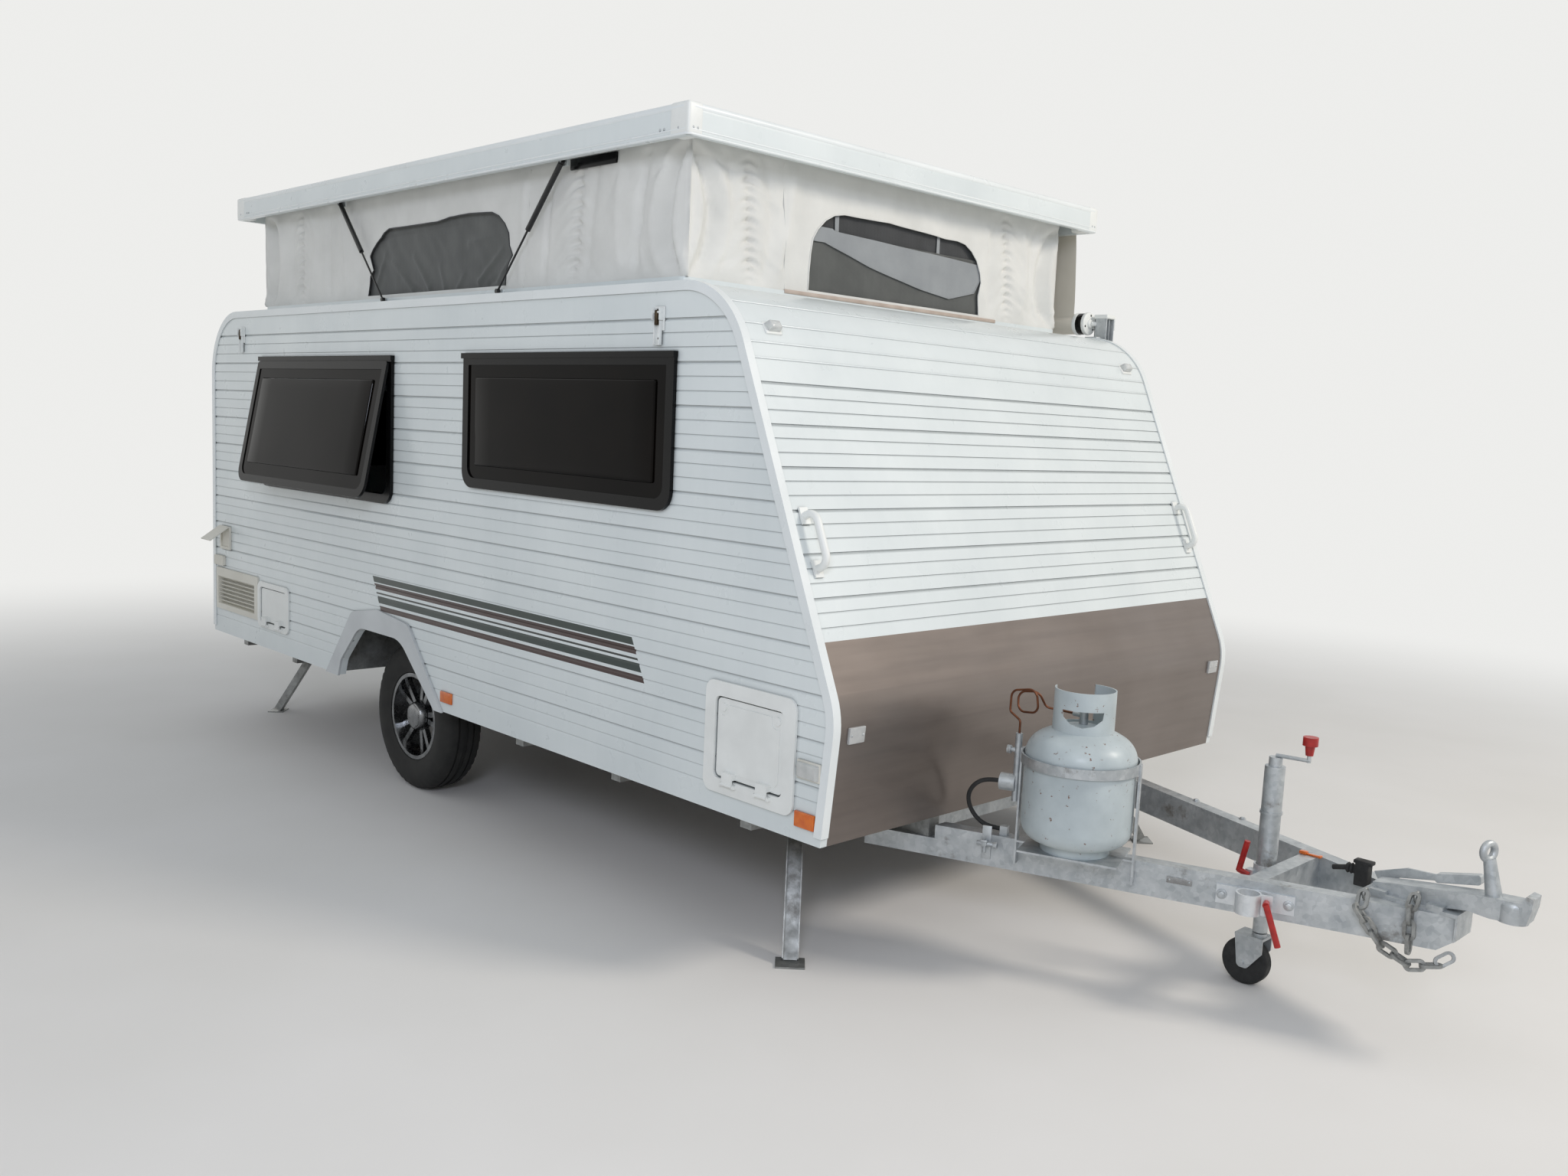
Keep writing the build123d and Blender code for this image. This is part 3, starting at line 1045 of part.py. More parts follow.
vent = block(VENT_X, (-HALF_WIDTH - 8, -HALF_WIDTH + WALL), VENT_Z)
vent -= block((VENT_X[0] + 24, VENT_X[1] - 40), (-HALF_WIDTH - 20, -HALF_WIDTH + WALL + 5), (VENT_Z[0] + 28, VENT_Z[1] - 45))
louvre_pitch = (VENT_Z[1] - 45 - VENT_Z[0] - 28) / LOUVRES
for i in range(LOUVRES):
    z = VENT_Z[0] + 28 + (i + 0.5) * louvre_pitch
    blade = Rot(-38, 0, 0) * Box(VENT_X[1] - VENT_X[0] - 62, 26, 3)
    vent += Pos((VENT_X[0] + 24 + VENT_X[1] - 40) / 2, -HALF_WIDTH + 8, z) * blade
write("appliance_vent", vent)

# Power inlet with its flap standing open

INLET_X = (-1760, -1640)
INLET_Z = (888, 1005)
inlet = block(INLET_X, (-HALF_WIDTH - 10, -HALF_WIDTH), INLET_Z)
inlet -= block((INLET_X[0] + 14, INLET_X[1] - 14), (-HALF_WIDTH - 15, -HALF_WIDTH - 4), (INLET_Z[0] + 14, INLET_Z[1] - 14))
flap_hinge = (-HALF_WIDTH - 12, INLET_Z[1] - 2)
flap = block(INLET_X, (flap_hinge[0] - 5, flap_hinge[0]), (INLET_Z[0] + 2, INLET_Z[1] - 2))
swing_flap = Pos(0, flap_hinge[0], flap_hinge[1]) * Rot(-55, 0, 0) * Pos(0, -flap_hinge[0], -flap_hinge[1])
inlet += swing_flap * flap
inlet += rod((INLET_X[0], -HALF_WIDTH - 9, INLET_Z[1] - 2), (INLET_X[1], -HALF_WIDTH - 9, INLET_Z[1] - 2), 5)
SOCKET_BOX_X = (-1830, -1714)
SOCKET_BOX_Z = (800, 850)
socket_box = rounded_panel(SOCKET_BOX_X, SOCKET_BOX_Z, (-HALF_WIDTH - 14, -HALF_WIDTH), 8)
write("power_inlet", Compound([inlet, socket_box]))

# Lamps, reflectors, handles and latches

CLEARANCE_LAMP_Z = 1940
CLEARANCE_LAMP_Y = HALF_WIDTH - 137
arc_turn = math.pi / 2 - slope
arc_x = SLOPE_TOP_X - TOP_RADIUS * math.tan(arc_turn / 2)
lamp_angle = math.asin((CLEARANCE_LAMP_Z - BODY_TOP + TOP_RADIUS) / TOP_RADIUS)
lamp_x = arc_x + TOP_RADIUS * math.cos(lamp_angle)
lamps = []
for _, side in SIDES:
    seat = Plane(origin=(lamp_x, side * CLEARANCE_LAMP_Y, CLEARANCE_LAMP_Z), x_dir=(0, 1, 0),
                 z_dir=(math.cos(lamp_angle), 0, math.sin(lamp_angle)))
    lamps.append(seat * (Pos(0, 0, 15) * Box(66, 42, 30)))
    lamps.append(block((2492, 2579), on_side(side, HALF_WIDTH, HALF_WIDTH + 18), (640, 688)))
    lamps.append(block((REAR_X - 28, REAR_X), on_side(side, 900, 1060), (620, 860)))

# Side reflectors: side, x low, x high, z low, z high
REFLECTORS = (
    (-1, 2485, 2567, 490, 538),
    (-1, 463, 550, 488, 533),
    (1, 2485, 2567, 490, 538),
    (1, 445, 523, 488, 533),
)
for side, x0, x1, z0, z1 in REFLECTORS:
    lamps.append(block((x0, x1), on_side(side, HALF_WIDTH, HALF_WIDTH + 8), (z0, z1)))

# White reflectors on the lower front panel, which leans in below its bend
FRONT_REFLECTOR = (48, 66, 6)
FRONT_REFLECTOR_Z = 776
FRONT_REFLECTOR_Y = HALF_WIDTH - 95
lean_in = math.atan((NOSE_BEND_X - NOSE_BOTTOM_X) / (NOSE_BEND_Z - BODY_BOTTOM))
reflector_x = NOSE_BOTTOM_X + (FRONT_REFLECTOR_Z - BODY_BOTTOM) * math.tan(lean_in)
for _, side in SIDES:
    seat = Plane(origin=(reflector_x, side * FRONT_REFLECTOR_Y, FRONT_REFLECTOR_Z), x_dir=(0, 1, 0),
                 z_dir=(math.cos(lean_in), 0, -math.sin(lean_in)))
    height, width, thick = FRONT_REFLECTOR
    lamps.append(seat * (Pos(0, 0, thick / 2 + SEAT_GAP) * Box(width, height, thick)))
write("lamps", Compound(lamps))

HANDLE_Z = (1238, 1388)
HANDLE_Y = HALF_WIDTH - 72
HANDLE_BAR = 12
HANDLE_OUT = 50
HANDLE_FOOT = (34, 52, 7)
handles = []
for _, side in SIDES:
    seat = [(front_x(z), z) for z in HANDLE_Z]
    out = (HANDLE_OUT * math.cos(slope), HANDLE_OUT * math.sin(slope))
    bend = 32
    path = FilletPolyline(
        (seat[0][0], side * HANDLE_Y, seat[0][1]),
        (seat[0][0] + out[0], side * HANDLE_Y, seat[0][1] + out[1]),
        (seat[1][0] + out[0], side * HANDLE_Y, seat[1][1] + out[1]),
        (seat[1][0], side * HANDLE_Y, seat[1][1]), radius=bend)
    bar = sweep(Plane(origin=path @ 0, z_dir=path % 0) * Circle(HANDLE_BAR), path=path)
    for x, z in seat:
        foot = Plane(origin=(x, side * HANDLE_Y, z), x_dir=(0, 1, 0), z_dir=(math.cos(slope), 0, math.sin(slope)))
        bar += foot * (Pos(0, 0, HANDLE_FOOT[2] / 2) * Box(*HANDLE_FOOT))
    handles.append(bar)
write("grab_handles", Compound(handles))

# Roof latches: a plate on the wall, a hook at its top and the strap that hangs from it
LATCH_X = (1780, -1480)
LATCH_Z = (1880, 2005)
LATCH_PLATE = (44, 4)
LATCH_HOOK = (30, 24, 26)
LATCH_STRAP = (18, 14)
latches = []
for _, side in SIDES:
    for x in LATCH_X:
        latch = block((x - LATCH_PLATE[0] / 2, x + LATCH_PLATE[0] / 2),
                      on_side(side, HALF_WIDTH, HALF_WIDTH + LATCH_PLATE[1]), LATCH_Z)
        latch += block((x - LATCH_HOOK[0] / 2, x + LATCH_HOOK[0] / 2),
                       on_side(side, HALF_WIDTH, HALF_WIDTH + LATCH_HOOK[1]), (LATCH_Z[1] - LATCH_HOOK[2], LATCH_Z[1]))
        latch += block((x - LATCH_STRAP[0] / 2, x + LATCH_STRAP[0] / 2),
                       on_side(side, HALF_WIDTH, HALF_WIDTH + LATCH_STRAP[1]), (LATCH_Z[0] + 12, LATCH_Z[1]))
        latches.append(latch)
write("roof_latches", Compound(latches))

# Gas cylinder on the right drawbar rail: revolved body, collar with hand holes, foot ring

GAS_X = 2980
GAS_Y = -425
GAS_RADIUS = 167
GAS_PLATE = 6
gas_base = DRAWBAR_TOP + GAS_PLATE
gas_at = Pos(GAS_X, GAS_Y, gas_base)
SHOULDER = 288
DOME_TOP = 390
EDGE_RADIUS = 77
BASE_Z = 28
# The dome is a shallow crown that runs smoothly into a rounder edge
edge_centre = GAS_RADIUS - EDGE_RADIUS
edge_reach = DOME_TOP - EDGE_RADIUS
crown_centre = (edge_reach ** 2 - SHOULDER ** 2 - edge_centre ** 2) / (2 * (edge_reach - SHOULDER))
crown = DOME_TOP - crown_centre
crown_turn = math.atan2(edge_centre, SHOULDER - crown_centre)


def polar(centre, radius, turn):
    """The point at a turn from straight up, on a circle about centre."""
    return (centre[0] + radius * math.sin(turn), centre[1] + radius * math.cos(turn))


crown_end = polar((0, crown_centre), crown, crown_turn)
base_corner = (GAS_RADIUS - 55, BASE_Z + 55)
gas_outline = Line((0, BASE_Z), (base_corner[0], BASE_Z))
gas_outline += ThreePointArc((base_corner[0], BASE_Z), polar(base_corner, 55, math.radians(135)), (GAS_RADIUS, BASE_Z + 55))
gas_outline += Line((GAS_RADIUS, BASE_Z + 55), (GAS_RADIUS, SHOULDER))
gas_outline += ThreePointArc((GAS_RADIUS, SHOULDER), polar(
    (edge_centre, SHOULDER), EDGE_RADIUS, (crown_turn + math.pi / 2) / 2), crown_end)
gas_outline += ThreePointArc(crown_end, polar((0, crown_centre), crown, crown_turn / 2), (0, DOME_TOP))
gas_outline += Line((0, DOME_TOP), (0, BASE_Z))
gas = revolve(Plane.XZ * make_face(gas_outline), Axis.Z)
FOOT_RADIUS = GAS_RADIUS - 63
foot_ring = Cylinder(FOOT_RADIUS, 60, align=(Align.CENTER, Align.CENTER, Align.MIN))
foot_ring -= Pos(0, 0, -1) * Cylinder(FOOT_RADIUS - 4, 70, align=(Align.CENTER, Align.CENTER, Align.MIN))
gas += foot_ring

# The collar is a C, open towards the body, with a hand hole in its closed side
COLLAR_RADIUS = 92
COLLAR_Z = (350, 498)
COLLAR_OPEN = 150
HAND_HOLE = -60
HOLE_OUTLINE = ((-60, 443), (60, 443), (57, 420), (34, 402), (0, 394), (-34, 402), (-57, 420))
collar = Pos(0, 0, COLLAR_Z[0]) * Cylinder(
    COLLAR_RADIUS, COLLAR_Z[1] - COLLAR_Z[0], align=(Align.CENTER, Align.CENTER, Align.MIN))
collar -= Pos(0, 0, COLLAR_Z[0] - 5) * Cylinder(
    COLLAR_RADIUS - 4, COLLAR_Z[1] - COLLAR_Z[0] + 10, align=(Align.CENTER, Align.CENTER, Align.MIN))
collar -= Rot(0, 0, COLLAR_OPEN) * block((30, 200), (-COLLAR_RADIUS * 0.7, COLLAR_RADIUS * 0.7), (DOME_TOP - 6, 600))
hand_hole = extrude(make_face(Plane.YZ * Polyline(*HOLE_OUTLINE, close=True)), amount=200, dir=(1, 0, 0))
collar -= Rot(0, 0, HAND_HOLE) * hand_hole
gas += collar
write("gas_cylinder", gas_at * gas)

# Holder: a band that stands off the cylinder, a plate under it and two flat bars
BAND_Z = (262, 292)
BAND_GAP = 6
BAND_SHEET = 5
HOLDER_PLATE = (300, 220, GAS_PLATE)
BAR = (6, 26)
BAR_Z = (-76, 292)
band = Pos(0, 0, sum(BAND_Z) / 2) * (Cylinder(GAS_RADIUS + BAND_GAP + BAND_SHEET, BAND_Z[1] - BAND_Z[0])
                                     - Cylinder(GAS_RADIUS + BAND_GAP, 50))
holder = band + Rot(0, 0, rail_turn) * (Pos(0, 0, -GAS_PLATE / 2) * Box(*HOLDER_PLATE))
bar_x = GAS_RADIUS + BAND_GAP + BAND_SHEET + 1
for end in (-1, 1):
    bar = Pos(end * bar_x, 0, sum(BAR_Z) / 2) * Box(BAR[0], BAR[1], BAR_Z[1] - BAR_Z[0])
    tongue = Pos(end * (bar_x + HOLDER_PLATE[0] / 2 - 10) / 2, 0, -GAS_PLATE / 2) * Box(
        bar_x - HOLDER_PLATE[0] / 2 + 10, BAR[1], GAS_PLATE)
    holder += Rot(0, 0, rail_turn) * (bar + tongue)
write("cylinder_holder", gas_at * holder)

# Valve, regulator and its stack clipped to the rear bar, and the elbow where the hose meets the rail
STACK_RADIUS = 11
STACK_Z = (120, 334)
REGULATOR_RADIUS = 27
REGULATOR_LENGTH = 38
REGULATOR_Z = 176
stack_x = -bar_x - BAR[0] / 2 - SEAT_GAP - STACK_RADIUS
stack = rod((stack_x, 0, STACK_Z[0]), (stack_x, 0, STACK_Z[1]), STACK_RADIUS)
stack += rod((stack_x, 0, REGULATOR_Z), (stack_x - STACK_RADIUS - REGULATOR_LENGTH, 0, REGULATOR_Z), REGULATOR_RADIUS)
stack += rod((stack_x, 0, 280), (stack_x - 30, 0, 280), 7)
stack += rod((stack_x - 22, 0, 280), (stack_x - 34, 0, 280), 13)
valve = rod((0, 0, DOME_TOP + SEAT_GAP), (0, 0, 440), 13)
valve += rod((0, 0, 416), (-36, 0, 416), 8)
# The hose leaves the regulator level, turns down in a half loop and comes back level to its elbow on the rail
HOSE_RADIUS = 7
HOSE_RUN = 44
HOSE_TURN = 30
ELBOW = (24, 22)
rail_middle = RAIL_WIDTH / 2 + (-GAS_Y - rail_outer_y(GAS_X)) * math.cos(math.radians(rail_turn))
hose_u = stack_x - STACK_RADIUS - REGULATOR_LENGTH
hose_route = [(hose_u - SEAT_GAP, 0, REGULATOR_Z)]
for step, share in enumerate((0, 0, 0.25, 0.75, 1, 1, 1)):
    turn = math.radians(step * HOSE_TURN)
    u, _, z = hose_route[-1]
    hose_route.append((u - HOSE_RUN * math.cos(turn), rail_middle * share, z - HOSE_RUN * math.sin(turn)))
elbow = block((hose_u, hose_u + ELBOW[0]), (rail_middle - ELBOW[1] / 2, rail_middle + ELBOW[1] / 2),
              (DRAWBAR_TOP - gas_base, hose_route[-1][2] + ELBOW[1] / 2))
gas_turned = gas_at * Rot(0, 0, rail_turn)
write("gas_fittings", Compound([gas_turned * stack, gas_at * valve, gas_turned * elbow]))
red_grips.append(gas_at * rod((0, 0, 440 + SEAT_GAP), (0, 0, 456), 19))
write("red_handles", Compound(red_grips))


def bent_tube(points, radius, bend):
    """A tube of straight runs joined by arcs."""
    path = FilletPolyline(*points, radius=bend)
    return sweep(Plane(origin=path @ 0, z_dir=path % 0) * Circle(radius), path=path)


# Copper pigtail with its loop, from the stack on the holder's bar to the valve
def beside_gas(x, y, z):
    """A point given in the holder's own turned axes, as x, y, z in the model."""
    turn = math.radians(rail_turn)
    return (GAS_X + x * math.cos(turn) - y * math.sin(turn), GAS_Y + x * math.sin(turn) + y * math.cos(turn), gas_base + z)


PIGTAIL_RADIUS = 3.5
pigtail_start = beside_gas(stack_x, 0, STACK_Z[1] + SEAT_GAP)
PIGTAIL = (
    pigtail_start, (pigtail_start[0], pigtail_start[1], 784), (2760, -494, 806), (2760, -492, 872), (2848, -488, 890),
    (2856, -482, 816), (2776, -476, 806), (2770, -470, 868), (2838, -462, 878), (2852, -436, 828), (GAS_X - 96, GAS_Y, 826),
    (GAS_X - 36 - SEAT_GAP, GAS_Y, 826))
PIGTAIL_BENDS = (14, 14, 26, 26, 26, 26, 26, 26, 20, 14)
write("gas_pigtail", bent_tube(PIGTAIL, PIGTAIL_RADIUS, PIGTAIL_BENDS))
hose_line = [Vector(*point) for point in hose_route]
hose_radii = []
for before, corner, after in zip(hose_line, hose_line[1:], hose_line[2:]):
    half_turn = math.radians((corner - before).get_angle(after - corner) / 2)
    hose_radii.append(0.45 * min((corner - before).length, (after - corner).length) / math.tan(half_turn))
hose_path = FilletPolyline(*hose_line, radius=hose_radii)
hose = sweep(Plane(origin=hose_path @ 0, z_dir=hose_path % 0) * Circle(HOSE_RADIUS), path=hose_path)
write("gas_hose", gas_turned * hose)
print("hose radii:", [round(radius) for radius in hose_radii], "length:", round(hose_path.length))

print("nodes written:", len(os.listdir("parts")))
print("origin shift:", ORIGIN_SHIFT)
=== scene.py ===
# %% [markdown]
# # A pop-top travel caravan
#
# The caravan stands on its own wheels with the lid raised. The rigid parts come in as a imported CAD
# model, and this notebook gives every surface its finish, then adds what CAD leaves out: cloth,
# lenses, seals, screws and tyre tread.
#
# ## Load the frame
#
# The frame is in metres: X towards the coupling, Y to the door side, Z up. The drawing that the
# parts come from counts X from the axle in millimetres, so one small function turns a place on that
# drawing into a place in the scene. A second one puts new data into the scene as an object.

# %% Load the frame
import math

import bpy
from mathutils import Matrix, Vector, noise


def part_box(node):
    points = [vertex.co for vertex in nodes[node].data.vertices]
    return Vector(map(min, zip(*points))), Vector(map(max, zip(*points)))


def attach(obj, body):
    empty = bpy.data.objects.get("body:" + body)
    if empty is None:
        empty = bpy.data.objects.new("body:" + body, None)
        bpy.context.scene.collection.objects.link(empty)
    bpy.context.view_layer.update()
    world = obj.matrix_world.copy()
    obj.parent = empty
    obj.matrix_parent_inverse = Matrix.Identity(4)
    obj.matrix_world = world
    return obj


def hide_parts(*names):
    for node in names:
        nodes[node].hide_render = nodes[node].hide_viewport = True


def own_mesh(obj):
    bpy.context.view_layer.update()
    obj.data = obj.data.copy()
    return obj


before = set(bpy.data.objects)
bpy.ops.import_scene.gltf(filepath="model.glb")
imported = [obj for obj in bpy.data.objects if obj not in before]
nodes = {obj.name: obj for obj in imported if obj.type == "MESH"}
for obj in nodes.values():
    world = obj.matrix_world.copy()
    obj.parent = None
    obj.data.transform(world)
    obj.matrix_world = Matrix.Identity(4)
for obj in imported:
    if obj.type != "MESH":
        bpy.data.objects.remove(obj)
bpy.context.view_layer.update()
AXLE_X = -1121.0


def at(x, y, z):
    """A point on the drawing, x ahead of the axle, in millimetres, as a place in the scene."""
    return Vector(((x + AXLE_X) / 1000, y / 1000, z / 1000))


def placed(name, data):
    """A new object in the scene that shows some data."""
    thing = bpy.data.objects.new(name, data)
    bpy.context.scene.collection.objects.link(thing)
    return thing


# %% [markdown]
# ## The camera
#
# The viewer stands ahead of the right front corner with their eyes 1.65 m above the ground. The
# lens and the direction come from lining up the body's long edges, so the camera is set from three
# axes and not by eye.

# %% Camera
CAMERA_PLACE = (3.99052, -3.81261, 1.65025)
CAMERA_RIGHT = (0.69643578, 0.71614199, 0.04602016)
CAMERA_UP = (-0.11970297, 0.05269986, 0.99141007)
CAMERA_BACK = (0.70756512, -0.69596219, 0.1224264)
LENS_MM = 30.248

camera_data = bpy.data.cameras.new("viewer")
camera_data.lens = LENS_MM
camera_data.sensor_width = 36.0
camera = placed("viewer", camera_data)
facing = Matrix((CAMERA_RIGHT, CAMERA_UP, CAMERA_BACK)).transposed().to_4x4()
camera.matrix_world = Matrix.Translation(CAMERA_PLACE) @ facing
bpy.context.scene.camera = camera
print("camera lens", LENS_MM, "mm")

# %% [markdown]
# ## The gas hose
#
# A rubber hose takes the gas from the regulator beside the cylinder down to an elbow on the rail. It
# leaves level, turns over in half a loop under its own weight and comes back level to the elbow. A
# hose has one smooth line, so it is a spline through a few control points. Its round section is a
# bevel of one metre that each point's radius brings down to 7 mm, so that the curve's box, which
# Blender grows by those radii, stays true.

# %% Gas hose
HOSE_ROUTE = (
    (1.6317, -0.5098, 0.5860), (1.5905, -0.5252, 0.5860), (1.5548, -0.5385, 0.5640),
    (1.5307, -0.5369, 0.5259), (1.5238, -0.5184, 0.4819), (1.5409, -0.5014, 0.4438),
    (1.5766, -0.4881, 0.4218), (1.6179, -0.4727, 0.4218),
)
HOSE_RADIUS = 0.007
hose_line = bpy.data.curves.new("gas_supply_hose", "CURVE")
hose_line.dimensions = "3D"
hose_line.bevel_depth = 1.0
hose_line.bevel_resolution = 6
hose_line.use_fill_caps = True
run = hose_line.splines.new("NURBS")
run.points.add(len(HOSE_ROUTE) - 1)
for point, place in zip(run.points, HOSE_ROUTE):
    point.co = (*place, 1.0)
    point.radius = HOSE_RADIUS
run.order_u = 3
run.use_endpoint_u = True
run.resolution_u = 12
hose = placed("gas_supply_hose", hose_line)
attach(hose, "caravan")
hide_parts("gas_hose")
print("hose laid along", len(HOSE_ROUTE), "points")

# %% [markdown]
# ## Colours and nodes
#
# Paint cards and screens give colours as sRGB hex values, but the shader works in linear light, so
# one function converts them. A second one adds a shader node with its settings and its links in a
# single call. Every pattern is measured in the object's own coordinates, so its scale can be
# worked out from a size in millimetres.

# %% Colour and node helpers
def linear(hex_colour):
    """An sRGB hex colour as linear RGBA."""
    channels = [int(hex_colour[i:i + 2], 16) / 255 for i in (1, 3, 5)]
    return [c / 12.92 if c <= 0.04045 else ((c + 0.055) / 1.055) ** 2.4 for c in channels] + [1.0]


def add_node(tree, kind, settings=None, links=None):
    """One node: attributes and input values by name or number, then what feeds its inputs."""
    node = tree.nodes.new("ShaderNode" + kind)
    for key, value in (settings or {}).items():
        if isinstance(key, str) and key.islower():
            setattr(node, key, value)
        else:
            node.inputs[key].default_value = value
    for key, source in (links or {}).items():
        tree.links.new(source, node.inputs[key])
    return node


def per_mm(size):
    """The scale of a texture whose features are this many millimetres."""
    return 1000.0 / size


def new_finish(name, hex_colour, settings):
    """A material with its shader set, and the parts that patterns attach to."""
    material = bpy.data.materials.new(name)
    material.use_nodes = True
    tree = material.node_tree
    shader = tree.nodes["Principled BSDF"]
    shader.inputs["Base Color"].default_value = linear(hex_colour)
    for key, value in settings.items():
        shader.inputs[key].default_value = value
    place = add_node(tree, "TexCoord").outputs["Object"]
    return material, tree, shader, place


def mottle(tree, place, size_mm, low, high, stretch=(1, 1, 1), spread=0.25, detail=3.0):
    """Cloudy change between two colours, in patches of about one size."""
    mapped = add_node(tree, "Mapping", {"Scale": stretch}, {"Vector": place}).outputs[0]
    cloud = add_node(tree, "TexNoise", {"Scale": per_mm(size_mm), "Detail": detail}, {"Vector": mapped})
    ramp = add_node(tree, "ValToRGB", links={"Fac": cloud.outputs[0]})
    ramp.color_ramp.elements[0].position = 0.5 - spread
    ramp.color_ramp.elements[1].position = 0.5 + spread
    ramp.color_ramp.elements[0].color = linear(low)
    ramp.color_ramp.elements[1].color = linear(high)
    return ramp.outputs["Color"]


def tint(tree, shader, colour):
    tree.links.new(colour, shader.inputs["Base Color"])


def dull(tree, shader, place, size_mm, low, high, stretch=(1, 1, 1)):
    """Gloss that changes from patch to patch between two roughness values."""
    mapped = add_node(tree, "Mapping", {"Scale": stretch}, {"Vector": place}).outputs[0]
    cloud = add_node(tree, "TexNoise", {"Scale": per_mm(size_mm), "Detail": 4.0}, {"Vector": mapped})
    spread = add_node(tree, "MapRange", {"From Min": 0.3, "From Max": 0.7, "To Min": low, "To Max": high},
                      {"Value": cloud.outputs[0]})
    tree.links.new(spread.outputs[0], shader.inputs["Roughness"])


def emboss(tree, shader, height, depth_mm, strength=1.0, under=None):
    """Bump from a height between 0 and 1, as deep as so many millimetres."""
    bump = add_node(tree, "Bump", {"Strength": strength, "Distance": depth_mm / 1000}, {"Height": height})
    if under is not None:
        tree.links.new(under, bump.inputs["Normal"])
    tree.links.new(bump.outputs[0], shader.inputs["Normal"])
    return bump.outputs[0]


print("helpers ready")

# %% [markdown]
# ## Painted cladding
#
# The walls are thin aluminium boards, rolled to shape and coated in a gloss white polyester
# paint before they are cut. The paint gives an even white with a slight cool tint and soft, wide
# reflections. Thin sheet never lies quite flat, so a broad shallow waviness is added as bump, and
# the grime that rain leaves is drawn as faint vertical streaks. Shade in the grooves between boards
# is painted: the paint darkens wherever the surface is shut in within about 14 mm.

# %% Painted cladding
def coat_of_paint(name, low, high):
    """Coil-coated sheet: waviness over 220 mm, streaks about 30 mm wide and 400 mm long."""
    material, tree, shader, place = new_finish(name, high, {
        "Roughness": 0.32, "Coat Weight": 0.25, "Coat Roughness": 0.12})
    base = mottle(tree, place, 420, low, high)
    streaked = mottle(tree, place, 400, "#D3D6D3", "#FFFFFF", stretch=(14, 14, 1), spread=0.5)
    mixed = add_node(tree, "Mix", {"data_type": "RGBA", "blend_type": "MULTIPLY", 0: 0.12},
                     {6: base, 7: streaked})
    wave = add_node(tree, "TexNoise", {"Scale": per_mm(220), "Detail": 1.0}, {"Vector": place})
    emboss(tree, shader, wave.outputs[0], 1.1, 0.55)
    dull(tree, shader, place, 90, 0.26, 0.40)
    # Painted shade: the colour darkens where the surface is shut in within 14 mm, in the grooves between
    # boards and wherever another part is close.
    shut_in = add_node(tree, "AmbientOcclusion", {"samples": 6, "Distance": 0.014})
    depth = add_node(tree, "MapRange", {"From Min": 0.40, "From Max": 0.90, "To Min": 0.46, "To Max": 1.0},
                     {"Value": shut_in.outputs["AO"]})
    painted_groove_shade = add_node(tree, "VectorMath", {"operation": "SCALE"},
                      {0: mixed.outputs[2], 3: depth.outputs[0]})
    tint(tree, shader, painted_groove_shade.outputs[0])
    return material, tree, shader, place, painted_groove_shade.outputs[0]


WHITE_BOARDS = ("#D3DADB", "#DFE5E5")
white_paint = coat_of_paint("coil_coated_aluminium_white", *WHITE_BOARDS)[0]
print("white cladding paint ready")

# %% [markdown]
# ## Printed stripes
#
# Five vinyl stripes run along each side, dark green and red brown in turn. They are printed film
# pressed onto the ribbed boards, so they follow every groove. A decal made as a separate sheet
# would float over the grooves; instead the wall's own paint changes colour between heights, and
# each stripe's two ends lean back with a step, as cut film does.

# %% Printed stripes
STRIPE_ENDS_X = (-123.0, 1685.0)
STRIPE_TOP_Z = 930.0
STRIPE_LEAN = 0.52
# Stripes: low edge, high edge, colour
STRIPES = (
    (905, 930, "#23322E"),
    (876, 900, "#3A2522"),
    (857, 864, "#2A2F2C"),
    (819, 848, "#22322F"),
    (786, 808, "#3B2623"),
)

striped_paint, tree, shader, place, white_with_painted_shade = coat_of_paint(
    "coil_coated_aluminium_striped", *WHITE_BOARDS)
axes = add_node(tree, "SeparateXYZ", links={0: place})
lean = add_node(tree, "Math", {"operation": "MULTIPLY_ADD", 1: STRIPE_LEAN,
                               2: -STRIPE_LEAN * STRIPE_TOP_Z / 1000}, {0: axes.outputs["Z"]})
along = add_node(tree, "Math", {"operation": "ADD"}, {0: axes.outputs["X"], 1: lean.outputs[0]})
after_start = add_node(tree, "Math", {"operation": "GREATER_THAN", 1: at(STRIPE_ENDS_X[0], 0, 0).x},
                       {0: along.outputs[0]})
before_end = add_node(tree, "Math", {"operation": "LESS_THAN", 1: at(STRIPE_ENDS_X[1], 0, 0).x},
                      {0: along.outputs[0]})
within = add_node(tree, "Math", {"operation": "MULTIPLY"},
                  {0: after_start.outputs[0], 1: before_end.outputs[0]})
# The stripes go over the white with its painted groove shade, so the film itself is not darkened.
colour = white_with_painted_shade
for low_z, high_z, film in STRIPES:
    middle, half = (low_z + high_z) / 2000, (high_z - low_z) / 2000
    band = add_node(tree, "Math", {"operation": "COMPARE", 1: middle, 2: half}, {0: axes.outputs["Z"]})
    both = add_node(tree, "Math", {"operation": "MULTIPLY"}, {0: band.outputs[0], 1: within.outputs[0]})
    layer = add_node(tree, "Mix", {"data_type": "RGBA", 7: linear(film)}, {0: both.outputs[0], 6: colour})
    colour = layer.outputs[2]
tint(tree, shader, colour)
print(len(STRIPES), "stripes on each side")

# %% [markdown]
# ## The taupe lower panel
#
# The curved panel below the front boards is the same sheet in a metallic taupe. Metallic paint
# has aluminium flakes in it, so it is part metal and its brightness changes with the angle. Grain
# lies across the sheet as it came off the roll, and road dirt has left broad smudges on it.

